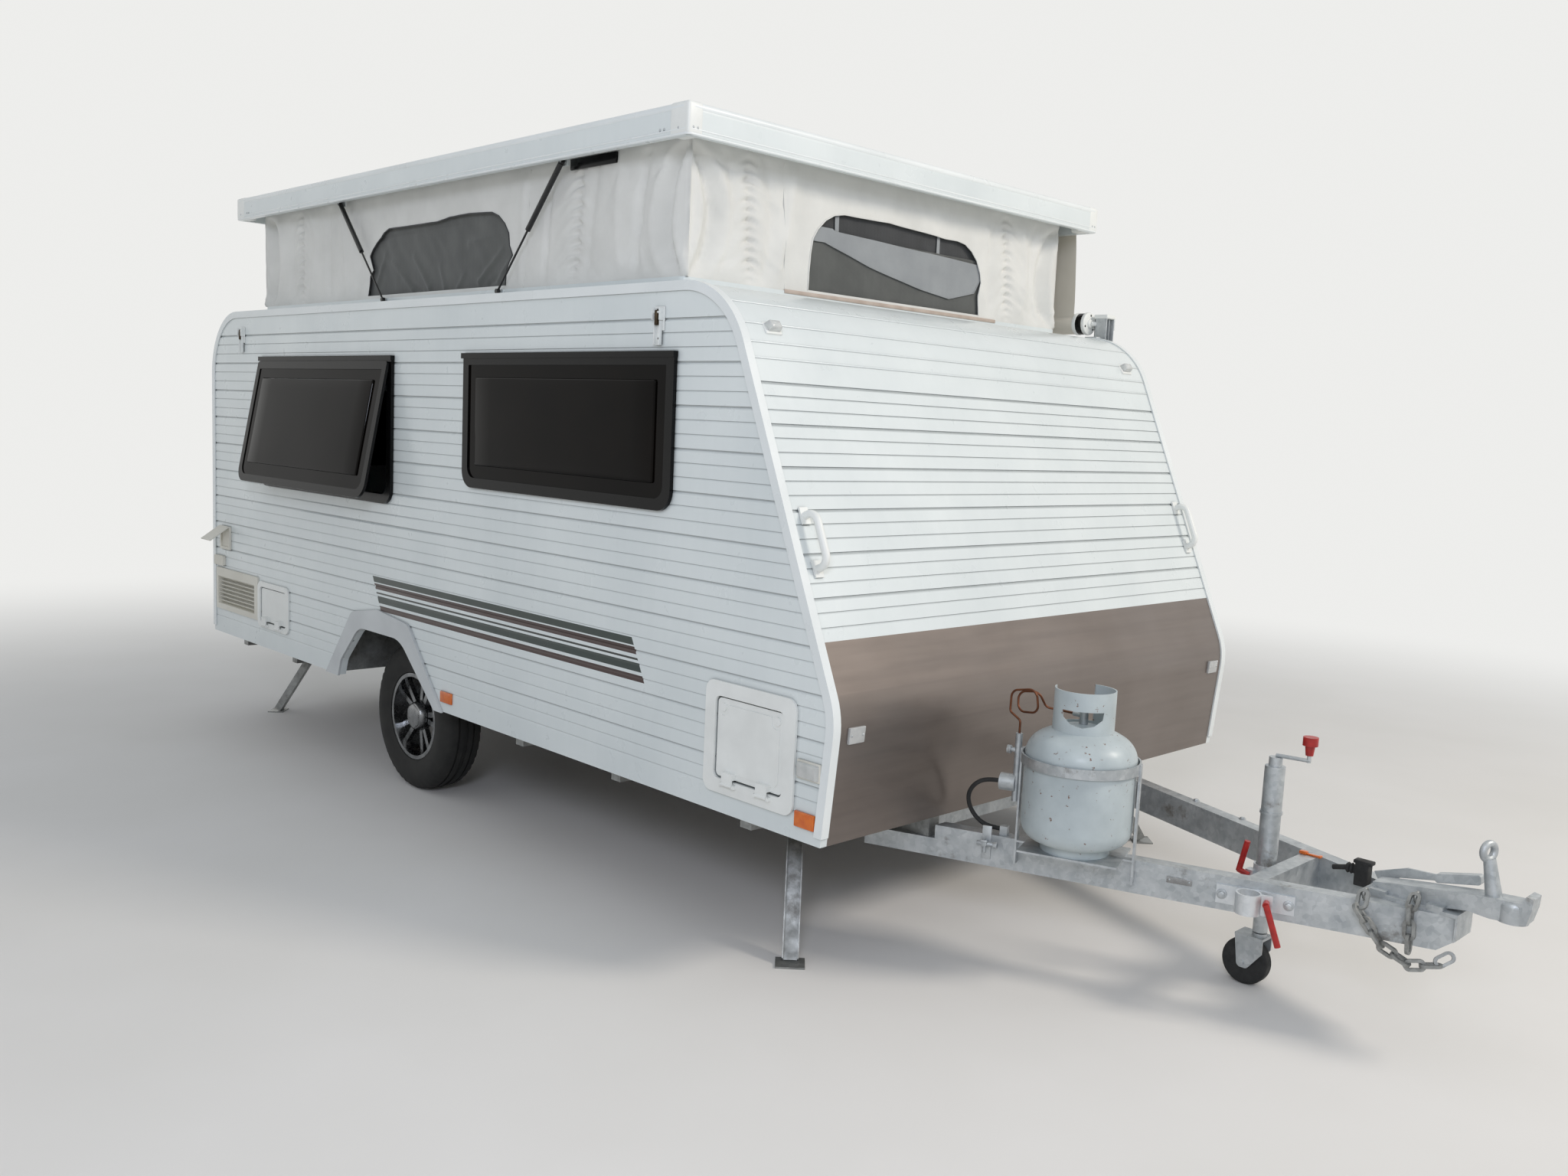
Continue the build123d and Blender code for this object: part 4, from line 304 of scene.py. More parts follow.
# %% Metallic taupe
taupe_paint, tree, shader, place = new_finish("metallic_taupe_paint", "#7F7671", {
    "Metallic": 0.72, "Coat Weight": 0.3, "Coat Roughness": 0.15})
rolled = mottle(tree, place, 26, "#79706B", "#857C76", stretch=(1, 0.04, 1), spread=0.4)
smudged = mottle(tree, place, 260, "#D8D2CC", "#FFFFFF", spread=0.3)
mixed = add_node(tree, "Mix", {"data_type": "RGBA", "blend_type": "MULTIPLY", 0: 0.5},
                 {6: rolled, 7: smudged})
tint(tree, shader, mixed.outputs[2])
dull(tree, shader, place, 60, 0.30, 0.44, stretch=(1, 0.15, 1))
wave = add_node(tree, "TexNoise", {"Scale": per_mm(300), "Detail": 1.0}, {"Vector": place})
emboss(tree, shader, wave.outputs[0], 1.5, 0.5)
print("taupe paint ready")

# %% [markdown]
# ## Hot-dip galvanised steel
#
# The drawbar, chassis, legs and chains were dipped in molten zinc. As it cools, the zinc grows
# crystals, called spangle, about 10 to 20 mm across, each with its own shade of grey. A Voronoi
# texture has the same flat cells. Weather turns zinc chalky, so clouds of pale and dark grey lie
# over the spangle, and drips and dirt gather in brown patches.

# %% Galvanised steel
def galvanised(name, light, dark, dirt, dirt_share):
    material, tree, shader, place = new_finish(name, light, {"Metallic": 0.75})
    cells = add_node(tree, "TexVoronoi", {"Scale": per_mm(14)}, {"Vector": place})
    shade = add_node(tree, "ValToRGB", links={"Fac": cells.outputs["Color"]})
    shade.color_ramp.elements[0].color = linear(dark)
    shade.color_ramp.elements[1].color = linear(light)
    chalk = mottle(tree, place, 70, dark, light, spread=0.2, detail=6.0)
    zinc = add_node(tree, "Mix", {"data_type": "RGBA", 0: 0.55}, {6: shade.outputs[0], 7: chalk})
    stain = add_node(tree, "TexNoise", {"Scale": per_mm(160), "Detail": 8.0, "Roughness": 0.7},
                     {"Vector": place})
    where = add_node(tree, "MapRange", {"From Min": 0.62 - dirt_share, "From Max": 0.70, "To Max": 0.8},
                     {"Value": stain.outputs[0]})
    mixed = add_node(tree, "Mix", {"data_type": "RGBA", 7: linear(dirt)},
                     {0: where.outputs[0], 6: zinc.outputs[2]})
    tint(tree, shader, mixed.outputs[2])
    pits = add_node(tree, "TexNoise", {"Scale": per_mm(5), "Detail": 3.0}, {"Vector": place})
    emboss(tree, shader, pits.outputs[0], 0.5, 0.5)
    dull(tree, shader, place, 40, 0.38, 0.62)
    return material


zinc = galvanised("hot_dip_galvanised_steel", "#C9CDCF", "#9BA1A5", "#6E665C", 0.02)
dull_zinc = galvanised("weathered_galvanised_steel", "#A7A9A8", "#7C7E7D", "#4F483F", 0.10)
bright_zinc = galvanised("electroplated_zinc", "#DFE2E4", "#BFC4C8", "#6E665C", 0.0)
print("galvanised steel ready")

# %% [markdown]
# ## Plastics
#
# Frames, hatches, vents and spats are injection moulded or vacuum formed. Moulded ABS has a fine
# etched grain of about a millimetre and a soft gloss; old white plastic yellows a little and
# holds dust. One function makes them all, because the real ones differ only in colour and gloss.

# %% Plastics
def moulded(name, low, high, roughness, grain_mm=1.2, grain_depth=0.05, patch_mm=120, settings=None):
    material, tree, shader, place = new_finish(name, high, {"IOR": 1.5, **(settings or {})})
    tint(tree, shader, mottle(tree, place, patch_mm, low, high))
    dull(tree, shader, place, patch_mm / 2, roughness * 0.8, roughness * 1.25)
    grain = add_node(tree, "TexNoise", {"Scale": per_mm(grain_mm), "Detail": 2.0}, {"Vector": place})
    emboss(tree, shader, grain.outputs[0], grain_depth, 0.5)
    return material


white_plastic = moulded("moulded_abs_white", "#DDDFDC", "#EBEDEA", 0.42)
spat_plastic = moulded("vacuum_formed_abs_grey_white", "#B9BDBF", "#CDD1D2", 0.38, patch_mm=200)
cream_plastic = moulded("moulded_abs_cream", "#D0CDC2", "#DDDBD1", 0.5)
black_plastic = moulded("moulded_abs_gloss_black", "#070708", "#0D0D0D", 0.2, patch_mm=60,
                        settings={"Specular IOR Level": 0.2})
red_plastic = moulded("dipped_pvc_red", "#8E1A17", "#B3241F", 0.35, patch_mm=20)
trim_paint = moulded("powder_coated_extrusion_white", "#DADFDF", "#E6EAEA", 0.3, patch_mm=300)
white_steel = moulded("painted_steel_white", "#D9DCDA", "#E9ECEA", 0.35, patch_mm=40)
black_steel = moulded("painted_steel_black", "#0E0E0F", "#1C1C1D", 0.33, patch_mm=30)
rubber = moulded("moulded_rubber_black", "#191A1B", "#2A2A2A", 0.75, grain_depth=0.15, patch_mm=40)
print("plastics ready")

# %% [markdown]
# ## Alloy, tyre rubber, acrylic, lenses
#
# The rims are cast aluminium, machined on the face and a little rough, with darker patches at random.
# Their metal is painted darker than bright alloy as painted shade, since the wheels stand in shade. Tyre
# rubber picks up grey dust in patches. The window panes are acrylic sheet tinted so dark a brown that
# by day they read as black; lamp lenses are clear or coloured acrylic with ribs inside.

# %% Alloy, rubber, acrylic, lenses
# Painted shade: the alloy is coloured darker than bright machined metal, for wheels that stand in shade.
alloy, tree, shader, place = new_finish("cast_alloy_machined", "#9EA0A2", {"Metallic": 1.0})
tint(tree, shader, mottle(tree, place, 45, "#6C6D6E", "#A9ABAD", spread=0.3))
dull(tree, shader, place, 12, 0.18, 0.32)

tyre_rubber, tree, shader, place = new_finish("tyre_rubber", "#1D1D1E", {"Roughness": 0.8})
tint(tree, shader, mottle(tree, place, 60, "#101112", "#232321", spread=0.3))
grain = add_node(tree, "TexNoise", {"Scale": per_mm(3), "Detail": 4.0}, {"Vector": place})
emboss(tree, shader, grain.outputs[0], 0.3, 0.5)

acrylic, tree, shader, place = new_finish("tinted_acrylic_brown", "#0A0807", {
    "Roughness": 0.05, "IOR": 1.49, "Specular IOR Level": 0.09})
tint(tree, shader, mottle(tree, place, 200, "#060505", "#120E0B", spread=0.35))
bow = add_node(tree, "TexNoise", {"Scale": per_mm(350), "Detail": 0.0}, {"Vector": place})
emboss(tree, shader, bow.outputs[0], 4.0, 0.6)


def lens(name, low, high, clear):
    """A ribbed lens: the ribs are 4 mm apart and run up and down."""
    material, tree, shader, place = new_finish(name, high, {
        "Roughness": 0.12, "IOR": 1.49, "Transmission Weight": clear, "Coat Weight": 0.4})
    tint(tree, shader, mottle(tree, place, 25, low, high))
    ribs = add_node(tree, "TexWave", {"bands_direction": "DIAGONAL", "Scale": per_mm(4) / 20},
                    {"Vector": place})
    emboss(tree, shader, ribs.outputs[0], 0.5, 0.5)
    return material


amber_lens = lens("amber_lens_acrylic", "#D9600F", "#F07F1E", 0.2)
red_lens = lens("red_lens_acrylic", "#A0140F", "#C81E17", 0.2)
clear_lens = lens("clear_lens_acrylic", "#DADDDD", "#F1F3F2", 0.45)
print("alloy, rubber, acrylic and lenses ready")

# %% [markdown]
# ## Cloth
#
# The pop-top's skirt is coated polyester-cotton canvas, a plain weave with about a millimetre
# between threads. At the size of the whole caravan that can't be seen, so the weave is drawn three
# times coarser. The awning is vinyl: smooth, soft and slightly glossy.

# %% Cloth
def woven(name, low, high, thread_mm, patch_mm, roughness, depth_mm=0.3):
    material, tree, shader, place = new_finish(name, high, {
        "Roughness": roughness, "Sheen Weight": 0.25, "Sheen Roughness": 0.6})
    tint(tree, shader, mottle(tree, place, patch_mm, low, high, spread=0.3, detail=5.0))
    spun = add_node(tree, "Mapping", {"Rotation": (0, 0, math.radians(45))}, {"Vector": place})
    warp, weft = [add_node(tree, "TexWave", {"bands_direction": direction, "Scale": per_mm(thread_mm) / 20,
                                             "Distortion": 0.6}, {"Vector": source})
                  for direction, source in (("Z", place), ("X", spun.outputs[0]))]
    threads = add_node(tree, "Math", {"operation": "MAXIMUM"}, {0: warp.outputs[1], 1: weft.outputs[1]})
    emboss(tree, shader, threads.outputs[0], depth_mm, 0.5)
    return material


canvas = woven("coated_canvas_white", "#CFCFCB", "#E0E0DC", 3.0, 160, 0.85)
flap_canvas = woven("coated_canvas_grey", "#83878A", "#94989A", 3.0, 120, 0.9)
side_flap_canvas = woven("coated_canvas_dark_grey", "#424442", "#555754", 3.0, 120, 0.9)
screen_mesh = woven("insect_screen_black", "#16181A", "#24272A", 2.0, 60, 0.8)
vinyl = woven("coated_vinyl_cream", "#C6C0B2", "#D6D0C3", 3.5, 200, 0.5, 0.12)
print("cloth ready")

# %% [markdown]
# ## Enamel, plywood, copper, brass, sealant
#
# The gas cylinder is painted in a pale grey-blue enamel that has chipped: the chips rust in brown
# specks of 5 to 15 mm. The floor's underside is sealed plywood, and the gas pipe is bare copper
# gone brown. The levers of the roof latches are brass that has gone dark, and the sealant under the
# front canvas has aged to a dusty beige.

# %% Enamel, plywood, copper, brass, sealant
enamel, tree, shader, place = new_finish("chipped_enamel_grey_blue", "#B4BEC1", {
    "Coat Weight": 0.15, "Coat Roughness": 0.25})
clean = mottle(tree, place, 90, "#A5AFB2", "#BEC8CA", spread=0.3, detail=5.0)
chips = add_node(tree, "TexNoise", {"Scale": per_mm(22), "Detail": 6.0, "Roughness": 0.65},
                 {"Vector": place})
chipped = add_node(tree, "MapRange", {"From Min": 0.635, "From Max": 0.68}, {"Value": chips.outputs[0]})
rusty = add_node(tree, "Mix", {"data_type": "RGBA", 7: linear("#6F4A35")},
                 {0: chipped.outputs[0], 6: clean})
tint(tree, shader, rusty.outputs[2])
dull(tree, shader, place, 35, 0.34, 0.55)
emboss(tree, shader, chipped.outputs[0], -0.4, 0.6)

plywood, tree, shader, place = new_finish("sealed_plywood", "#4A3A2C", {"Roughness": 0.7})
tint(tree, shader, mottle(tree, place, 40, "#3A2D22", "#5B4836", stretch=(0.15, 1, 1)))

copper = moulded("tarnished_copper", "#5A3A2B", "#7E5038", 0.4, patch_mm=25, settings={"Metallic": 0.8})
aged_brass = moulded("aged_brass", "#2B231A", "#4C3E2B", 0.35, patch_mm=12, settings={"Metallic": 0.7})
sealant = moulded("aged_sealant_beige", "#A8978B", "#C3B6AB", 0.7, patch_mm=60)
print("enamel, plywood, copper, brass and sealant ready")

# %% [markdown]
# ## Dress the CAD parts
#
# Each part keeps its shape from CAD and gets the finish of what it is made of.

# %% Finishes on the CAD parts
DRESS = {
    white_paint: "front_wall rear_wall roof_deck roof_lid",
    striped_paint: "right_wall left_wall entry_door",
    taupe_paint: "lower_front_panel",
    trim_paint: "corner_trims",
    plywood: "floor",
    zinc: "drawbar coupling jockey_tube jockey_stem jockey_fork cylinder_holder gas_fittings",
    bright_zinc: "tube_clamps",
    dull_zinc: "safety_chains chassis axle wheel_boxes "
               "leg_front_right leg_front_left leg_rear_right leg_rear_left",
    spat_plastic: "wheel_spats",
    tyre_rubber: "tyre_right tyre_left",
    alloy: "rim_right rim_left",
    red_plastic: "crank_knob red_handles",
    rubber: "jockey_wheel gas_hose",
    copper: "gas_pigtail",
    canvas: "canvas_skirt",
    vinyl: "awning_fabric awning_roll",
    black_plastic: "window_frames",
    acrylic: "window_panes door_pane",
    white_plastic: "opening_frames boot_door_right boot_door_left service_hatch grab_handles",
    cream_plastic: "appliance_vent power_inlet",
    clear_lens: "lamps",
    white_steel: "roof_latches",
    enamel: "gas_cylinder",
    black_steel: "strut_body_front_right strut_body_rear_right strut_body_front_left strut_body_rear_left "
                 "strut_rod_front_right strut_rod_rear_right strut_rod_front_left strut_rod_rear_left",
}
for finish, names in DRESS.items():
    for name in names.split():
        nodes[name].data.materials.clear()
        nodes[name].data.materials.append(finish)
hose.data.materials.append(rubber)
bare = sorted(set(nodes) - {name for names in DRESS.values() for name in names.split()})
print("parts with no finish yet:", bare)

# %% [markdown]
# ## Shaping tools
#
# Small hardware starts as a block or a round bar at its real size and place, and then its edges are
# broken, because no pressed or moulded edge is knife sharp. Like things, such as rivets, come from one
# function, called once for each. A finished piece gets its surface and the body that it moves with. A sheet
# is laid from points that are worked out, as smooth squares.

# %% Shaping tools
def pick(piece):
    bpy.ops.object.select_all(action="DESELECT")
    piece.select_set(True)
    bpy.context.view_layer.objects.active = piece


def edit(piece, step, **settings):
    """One edit-mode step on the whole of a piece."""
    pick(piece)
    bpy.ops.object.mode_set(mode="EDIT")
    bpy.ops.mesh.select_all(action="SELECT")
    step(**settings)
    bpy.ops.object.mode_set(mode="OBJECT")
    return piece


def plate(low, high, edge=1.5, segments=2):
    """A block between two corners on the drawing, with its edges rounded by so many millimetres."""
    start, end = at(*low), at(*high)
    bpy.ops.object.select_all(action="DESELECT")
    bpy.ops.mesh.primitive_cube_add(size=1, location=(start + end) / 2,
                                    scale=[abs(b - a) for a, b in zip(start, end)])
    piece = bpy.context.object
    bpy.ops.object.transform_apply(location=True, rotation=True, scale=True)
    return edit(piece, bpy.ops.mesh.bevel, offset=edge / 1000, segments=segments)


def bar(start, end, radius, sides=24, edge=1.0, tip=None):
    """A round bar between two points on the drawing, its rims rounded; tip gives another far radius."""
    low, high = at(*start), at(*end)
    bpy.ops.object.select_all(action="DESELECT")
    bpy.ops.mesh.primitive_cone_add(
        vertices=sides, radius1=radius / 1000, radius2=(radius if tip is None else tip) / 1000,
        depth=(high - low).length, location=(low + high) / 2,
        rotation=(high - low).to_track_quat("Z", "Y").to_euler())
    piece = bpy.context.object
    bpy.ops.object.transform_apply(location=True, rotation=True, scale=True)
    bpy.ops.object.mode_set(mode="EDIT")
    bpy.ops.mesh.select_all(action="DESELECT")
    bpy.ops.mesh.edges_select_sharp(sharpness=math.radians(50))
    bpy.ops.mesh.bevel(offset=edge / 1000, segments=2)
    bpy.ops.object.mode_set(mode="OBJECT")
    return piece


def dome(place, out, radius, height):
    """A screw or rivet head: a low dome that faces along out."""
    bpy.ops.object.select_all(action="DESELECT")
    bpy.ops.mesh.primitive_uv_sphere_add(
        segments=16, ring_count=8, radius=radius / 1000, location=at(*place),
        rotation=Vector(out).to_track_quat("Z", "Y").to_euler())
    piece = bpy.context.object
    piece.scale = (1, 1, height / radius)
    bpy.ops.object.transform_apply(location=True, rotation=True, scale=True)
    return piece


def turn_about(place, angle, axis):
    """The matrix that turns a mesh about a place, round an axis of the scene."""
    return Matrix.Translation(place) @ Matrix.Rotation(angle, 4, axis) @ Matrix.Translation(-place)


def joined(pieces):
    bpy.ops.object.select_all(action="DESELECT")
    for piece in pieces:
        piece.select_set(True)
    bpy.context.view_layer.objects.active = pieces[0]
    if len(pieces) > 1:
        bpy.ops.object.join()
    return bpy.context.object


def settle(pieces, name, finish, body, smooth=35):
    """Joins the pieces into one and gives it a name, finish and body."""
    piece = joined(pieces if isinstance(pieces, list) else [pieces])
    piece.name = name
    pick(piece)
    bpy.ops.object.transform_apply(location=True, rotation=True, scale=True)
    bpy.ops.object.shade_smooth_by_angle(angle=math.radians(smooth))
    piece.data.materials.clear()
    piece.data.materials.append(finish)
    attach(piece, body)
    return piece


def laid_sheet(name, points, squares, finish):
    mesh = bpy.data.meshes.new(name)
    mesh.from_pydata(points, [], squares)
    mesh.polygons.foreach_set("use_smooth", [True] * len(mesh.polygons))
    mesh.materials.append(finish)
    return placed(name, mesh)


print("shaping tools ready")

# %% [markdown]
# ## How the skirt's cloth lies
#
# The canvas skirt is one long strip, sewn to the lid above and screwed to the roof's rail below. It is
# cut fuller than the frame so that it can fold when the lid comes down, and with the lid up the spare
# cloth shows as tucks at the corners, long soft folds and two pinched columns of stitches on each
# face. The cloth is worked out on the flat: every point has a distance round the ring and a height,
# and a table of folds says how far the cloth stands in or out there. A fold is given by where it
# crosses the top, the middle and the bottom, then its depth and its width, all in millimetres.

# %% Lie of the cloth
SKIRT_X = (-1441.0, 1767.0)
SKIRT_HALF = 1040.0
SKIRT_Z = (2112.0, 2562.0)
LID_EDGE_Z = 2523.0
CORNER_TURN = 34.0
FOLD_STRENGTH = 1.7
FACE_LENGTH = {"front": 2 * SKIRT_HALF, "left": SKIRT_X[1] - SKIRT_X[0],
               "rear": 2 * SKIRT_HALF, "right": SKIRT_X[1] - SKIRT_X[0]}
FACES = ("front", "left", "rear", "right")
RING = sum(FACE_LENGTH.values())
FACE_START = {face: sum(FACE_LENGTH[before] for before in FACES[:n]) for n, face in enumerate(FACES)}
CORNERS_2D = ((SKIRT_X[1], -SKIRT_HALF), (SKIRT_X[1], SKIRT_HALF),
              (SKIRT_X[0], SKIRT_HALF), (SKIRT_X[0], -SKIRT_HALF))

# Folds of the short faces, counted along y, and of the long faces, counted along x
END_FOLDS = (
    (-1034, -978, -1028, 9, 22), (-1010, -915, -1000, -24, 40), (-960, -850, -930, 6, 34),
    (-880, -835, -905, -7, 26), (-614, -603, -588, -4, 5), (-560, -590, -640, 6, 30),
    (-700, -660, -705, -7, 34), (590, 560, 585, -6, 30), (760, 800, 770, 6, 30),
    (870, 840, 905, -7, 26), (1010, 915, 1000, -24, 40), (1034, 978, 1028, 9, 22),
)
SIDE_FOLDS = (
    (1762, 1712, 1756, 9, 20), (1740, 1655, 1735, -27, 40), (1690, 1592, 1660, 7, 30),
    (1557, 1520, 1508, -12, 22), (1420, 1400, 1440, 6, 40), (1290, 1245, 1230, -7, 30),
    (1008, 990, 969, -10, 14), (876, 858, 840, -4, 5), (850, 828, 812, 5, 26),
    (-480, -470, -500, -6, 34), (-640, -600, -585, 6, 24), (-760, -770, -750, -9, 30),
    (-930, -900, -960, 6, 40), (-1120, -1150, -1110, -8, 34), (-1290, -1250, -1300, 8, 36),
    (-1400, -1330, -1395, -26, 40), (-1436, -1385, -1430, 9, 20),
)
# Pinched columns: where they cross the top and the bottom, and how far apart their stitches are
GATHER_PITCH = 33
END_GATHERS = ((-773, -750), (654, 699))
SIDE_GATHERS = ((1180, 1150), (-1060, -1030))
# Creases that run slantwise: y or x and z where each starts and ends, its depth and its width
END_CREASES = (
    (-1008, 2516, -790, 2462, -9, 15), (-985, 2496, -878, 2330, 8, 15), (-1030, 2118, -988, 2284, 12, 12),
    (-1016, 2130, -888, 2388, -8, 18), (-745, 2432, -615, 2380, 6, 14), (-730, 2250, -600, 2160, 6, 15),
    (-800, 2200, -960, 2140, -7, 18), (530, 2470, 560, 2330, 7, 14), (700, 2300, 890, 2205, 8, 16),
    (690, 2222, 930, 2135, -7, 18), (1008, 2516, 820, 2440, -9, 15), (985, 2496, 878, 2330, 8, 15),
    (1030, 2118, 988, 2284, 12, 12),
)
SIDE_CREASES = (
    (1735, 2516, 1590, 2440, -9, 15), (1760, 2118, 1712, 2290, 12, 12), (1560, 2510, 1500, 2400, 9, 12),
    (1500, 2262, 1566, 2130, 9, 14), (1530, 2310, 1436, 2140, -8, 15), (1190, 2445, 1050, 2380, 6, 14),
    (1150, 2210, 1010, 2130, 7, 15), (1170, 2232, 1300, 2130, -7, 16), (1400, 2470, 1300, 2330, -5, 20),
    (-480, 2480, -540, 2330, 7, 16), (-700, 2460, -640, 2260, -6, 20), (-1080, 2420, -960, 2330, 6, 15),
    (-1040, 2220, -1180, 2130, 7, 16), (-1410, 2516, -1280, 2440, -9, 15), (-1434, 2118, -1386, 2290, 12, 12),
)
FOLDS = {"front": END_FOLDS, "rear": END_FOLDS, "left": SIDE_FOLDS, "right": SIDE_FOLDS}
CREASES = {"front": END_CREASES, "rear": END_CREASES, "left": SIDE_CREASES, "right": SIDE_CREASES}
GATHERS = {"front": END_GATHERS, "rear": END_GATHERS, "left": SIDE_GATHERS, "right": SIDE_GATHERS}


def along(face, distance):
    """The drawing's y or x for a distance round the ring."""
    from_start = distance - FACE_START[face]
    return {"front": -SKIRT_HALF + from_start, "left": SKIRT_X[1] - from_start,
            "rear": SKIRT_HALF - from_start, "right": SKIRT_X[0] + from_start}[face]


def distance_at(face, coordinate):
    """The distance round the ring for the drawing's y or x on one face."""
    return FACE_START[face] + {"front": coordinate + SKIRT_HALF, "left": SKIRT_X[1] - coordinate,
                               "rear": SKIRT_HALF - coordinate, "right": coordinate - SKIRT_X[0]}[face]


def face_at(distance):
    return next(face for face in reversed(FACES) if distance >= FACE_START[face])


def ring_place(distance):
    """The place on the frame's rounded outline and the way out from it, in plan."""
    distance %= RING
    face = face_at(distance)
    n = FACES.index(face)
    start, end = Vector(CORNERS_2D[n]), Vector(CORNERS_2D[(n + 1) % 4])
    run = (end - start).normalized()
    out = Vector((run.y, -run.x))
    from_start, to_end = distance - FACE_START[face], FACE_START[face] + FACE_LENGTH[face] - distance
    for gap, corner, sign in ((from_start, start, -1), (to_end, end, 1)):
        if gap < CORNER_TURN:
            near_run = Vector((-out.x, -out.y)) * sign
            share = (CORNER_TURN - gap) / (2 * CORNER_TURN)
            own = corner - run * sign * CORNER_TURN
            other = corner + near_run * CORNER_TURN
            place = own * (1 - share) ** 2 + corner * 2 * share * (1 - share) + other * share ** 2
            other_out = run * sign
            return place, (out * (1 - share) + other_out * share).normalized()
    return start + run * from_start, out


def crest(gap, width):
    """The profile of a fold: round at its foot and sharp along its top."""
    return 0.5 * math.exp(-(gap / width) ** 2) + 0.5 * math.exp(-abs(gap) / (0.4 * width))


def relief(distance, z):
    """How far the cloth stands out from the frame, in millimetres."""
    rise = (z - SKIRT_Z[0]) / (LID_EDGE_Z - SKIRT_Z[0])
    face = face_at(distance % RING)
    where = along(face, distance % RING)
    total = 0.0
    from_low, from_top = (1 - rise) * (1 - 2 * rise), rise * (2 * rise - 1)
    from_middle = 4 * rise * (1 - rise)
    for top, middle, bottom, depth, width in FOLDS[face]:
        path = bottom * from_low + middle * from_middle + top * from_top
        total += FOLD_STRENGTH * depth * crest(where - path, width)
    for top, bottom in GATHERS[face]:
        gap = abs(where - (bottom + (top - bottom) * rise))
        pucker = math.cos((z + 0.4 * gap) * 2 * math.pi / GATHER_PITCH)
        total += 8.5 * pucker * math.exp(-(gap / 28) ** 2) - 14.0 * crest(gap, 30)
        ripple = math.cos((z + 0.9 * gap) * 2 * math.pi / (2 * GATHER_PITCH) + 0.8)
        total += 3.0 * ripple * math.exp(-(gap / 90) ** 2)
    total += 6.0 * noise.noise(Vector((distance / 150, z / 260, 1.7)))
    total += 2.4 * noise.noise(Vector(((distance + z * 0.8) / 60, z / 110, 5.1)))
    total += 2.2 * noise.noise(Vector((distance / 26, z / 60, 9.4))) * max(0.0, rise - 0.55) * 2
    total += 1.8 * noise.noise(Vector((distance / 30, z / 70, 3.3))) * max(0.0, 0.4 - rise) * 2
    lower, upper = min(1.0, max(0.0, rise / 0.16)), min(1.0, max(0.0, (1.04 - rise) / 0.16))
    return total * lower * upper * (2 - upper)


def cloth_point(distance, z, behind):
    """A point of the cloth, or of something that hangs so far behind it."""
    (x, y), out = ring_place(distance)
    stand = relief(distance, z) - behind
    return at(x + out.x * stand, y + out.y * stand, z)


print("ring", round(RING), "mm")

# %% [markdown]
# ## Cutting the cloth
#
# Each sheet is a fine grid on the flat, cut to its outline, and then laid round the ring. Where a
# window is cut out, or where a flap is shorter than its grid, the squares on the far side of the line
# go, and the points along the cut slide onto the line, so the edge runs smooth.


def inside(outline, point):
    """Whether a point of the flat cloth is within an outline."""
    crossings = 0
    for (x0, z0), (x1, z1) in zip(outline, outline[1:] + outline[:1]):
        if (z0 > point[1]) != (z1 > point[1]) and point[0] < x0 + (point[1] - z0) * (x1 - x0) / (z1 - z0):
            crossings += 1
    return crossings % 2 == 1


def nearest(outline, point):
    """The point of an outline that is nearest to a point."""
    best = None
    for start, end in zip(outline, outline[1:] + outline[:1]):
        start, run = Vector(start), Vector(end) - Vector(start)
        share = min(1.0, max(0.0, (Vector(point) - start).dot(run) / run.length_squared))
        foot = start + run * share
        gap = (foot - Vector(point)).length
        if best is None or gap < best[0]:
            best = (gap, tuple(foot))
    return best[1]


def flatten(piece):
    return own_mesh(piece)


def pulled(creases, distance, z):
    """How far creases, each a line on the flat with a depth and a width, move a point in or out."""
    total = 0.0
    for (d0, z0), (d1, z1), depth, width in creases:
        if not min(d0, d1) - 4 * width < distance < max(d0, d1) + 4 * width:
            continue
        run_d, run_z = d1 - d0, z1 - z0
        share = min(1.0, max(0.0, ((distance - d0) * run_d + (z - z0) * run_z) / (run_d ** 2 + run_z ** 2)))
        gap = math.hypot(d0 + run_d * share - distance, z0 + run_z * share - z)
        total += depth * (1 - 0.6 * share) * crest(gap, width)
    edge = min(1.0, max(0.0, min(z - SKIRT_Z[0], LID_EDGE_Z - z) / 14))
    return total * edge


def cut_grid(span, heights, step, within, holes):
    """A grid on the flat, cut to an outline, with holes: its points, its squares and its columns."""
    columns = round((span[1] - span[0]) / step[0])
    rows = round((heights[1] - heights[0]) / step[1])
    flat = {(c, r): (span[0] + (span[1] - span[0]) * c / columns,
                     heights[0] + (heights[1] - heights[0]) * r / rows)
            for c in range(columns + 1) for r in range(rows + 1)}
    kept, cut = [], []
    for c in range(columns):
        for r in range(rows):
            middle = tuple((a + b) / 2 for a, b in zip(flat[c, r], flat[c + 1, r + 1]))
            gone = next((hole for hole in holes if inside(hole, middle)), None)
            if gone is None and within is not None and not inside(within, middle):
                gone = within
            square = ((c, r), (c + 1, r), (c + 1, r + 1), (c, r + 1))
            if gone is None:
                kept.append(square)
            else:
                cut.append((square, gone))
    used = {corner for square in kept for corner in square}
    for square, line in cut:
        for corner in square:
            if corner in used:
                flat[corner] = nearest(line, flat[corner])
    return flat, kept, columns


def area_of(corners):
    """The area of a flat outline given in millimetres, in square metres."""
    pairs = zip(corners, corners[1:] + corners[:1])
    return abs(sum(x0 * z1 - x1 * z0 for (x0, z0), (x1, z1) in pairs)) / 2e6


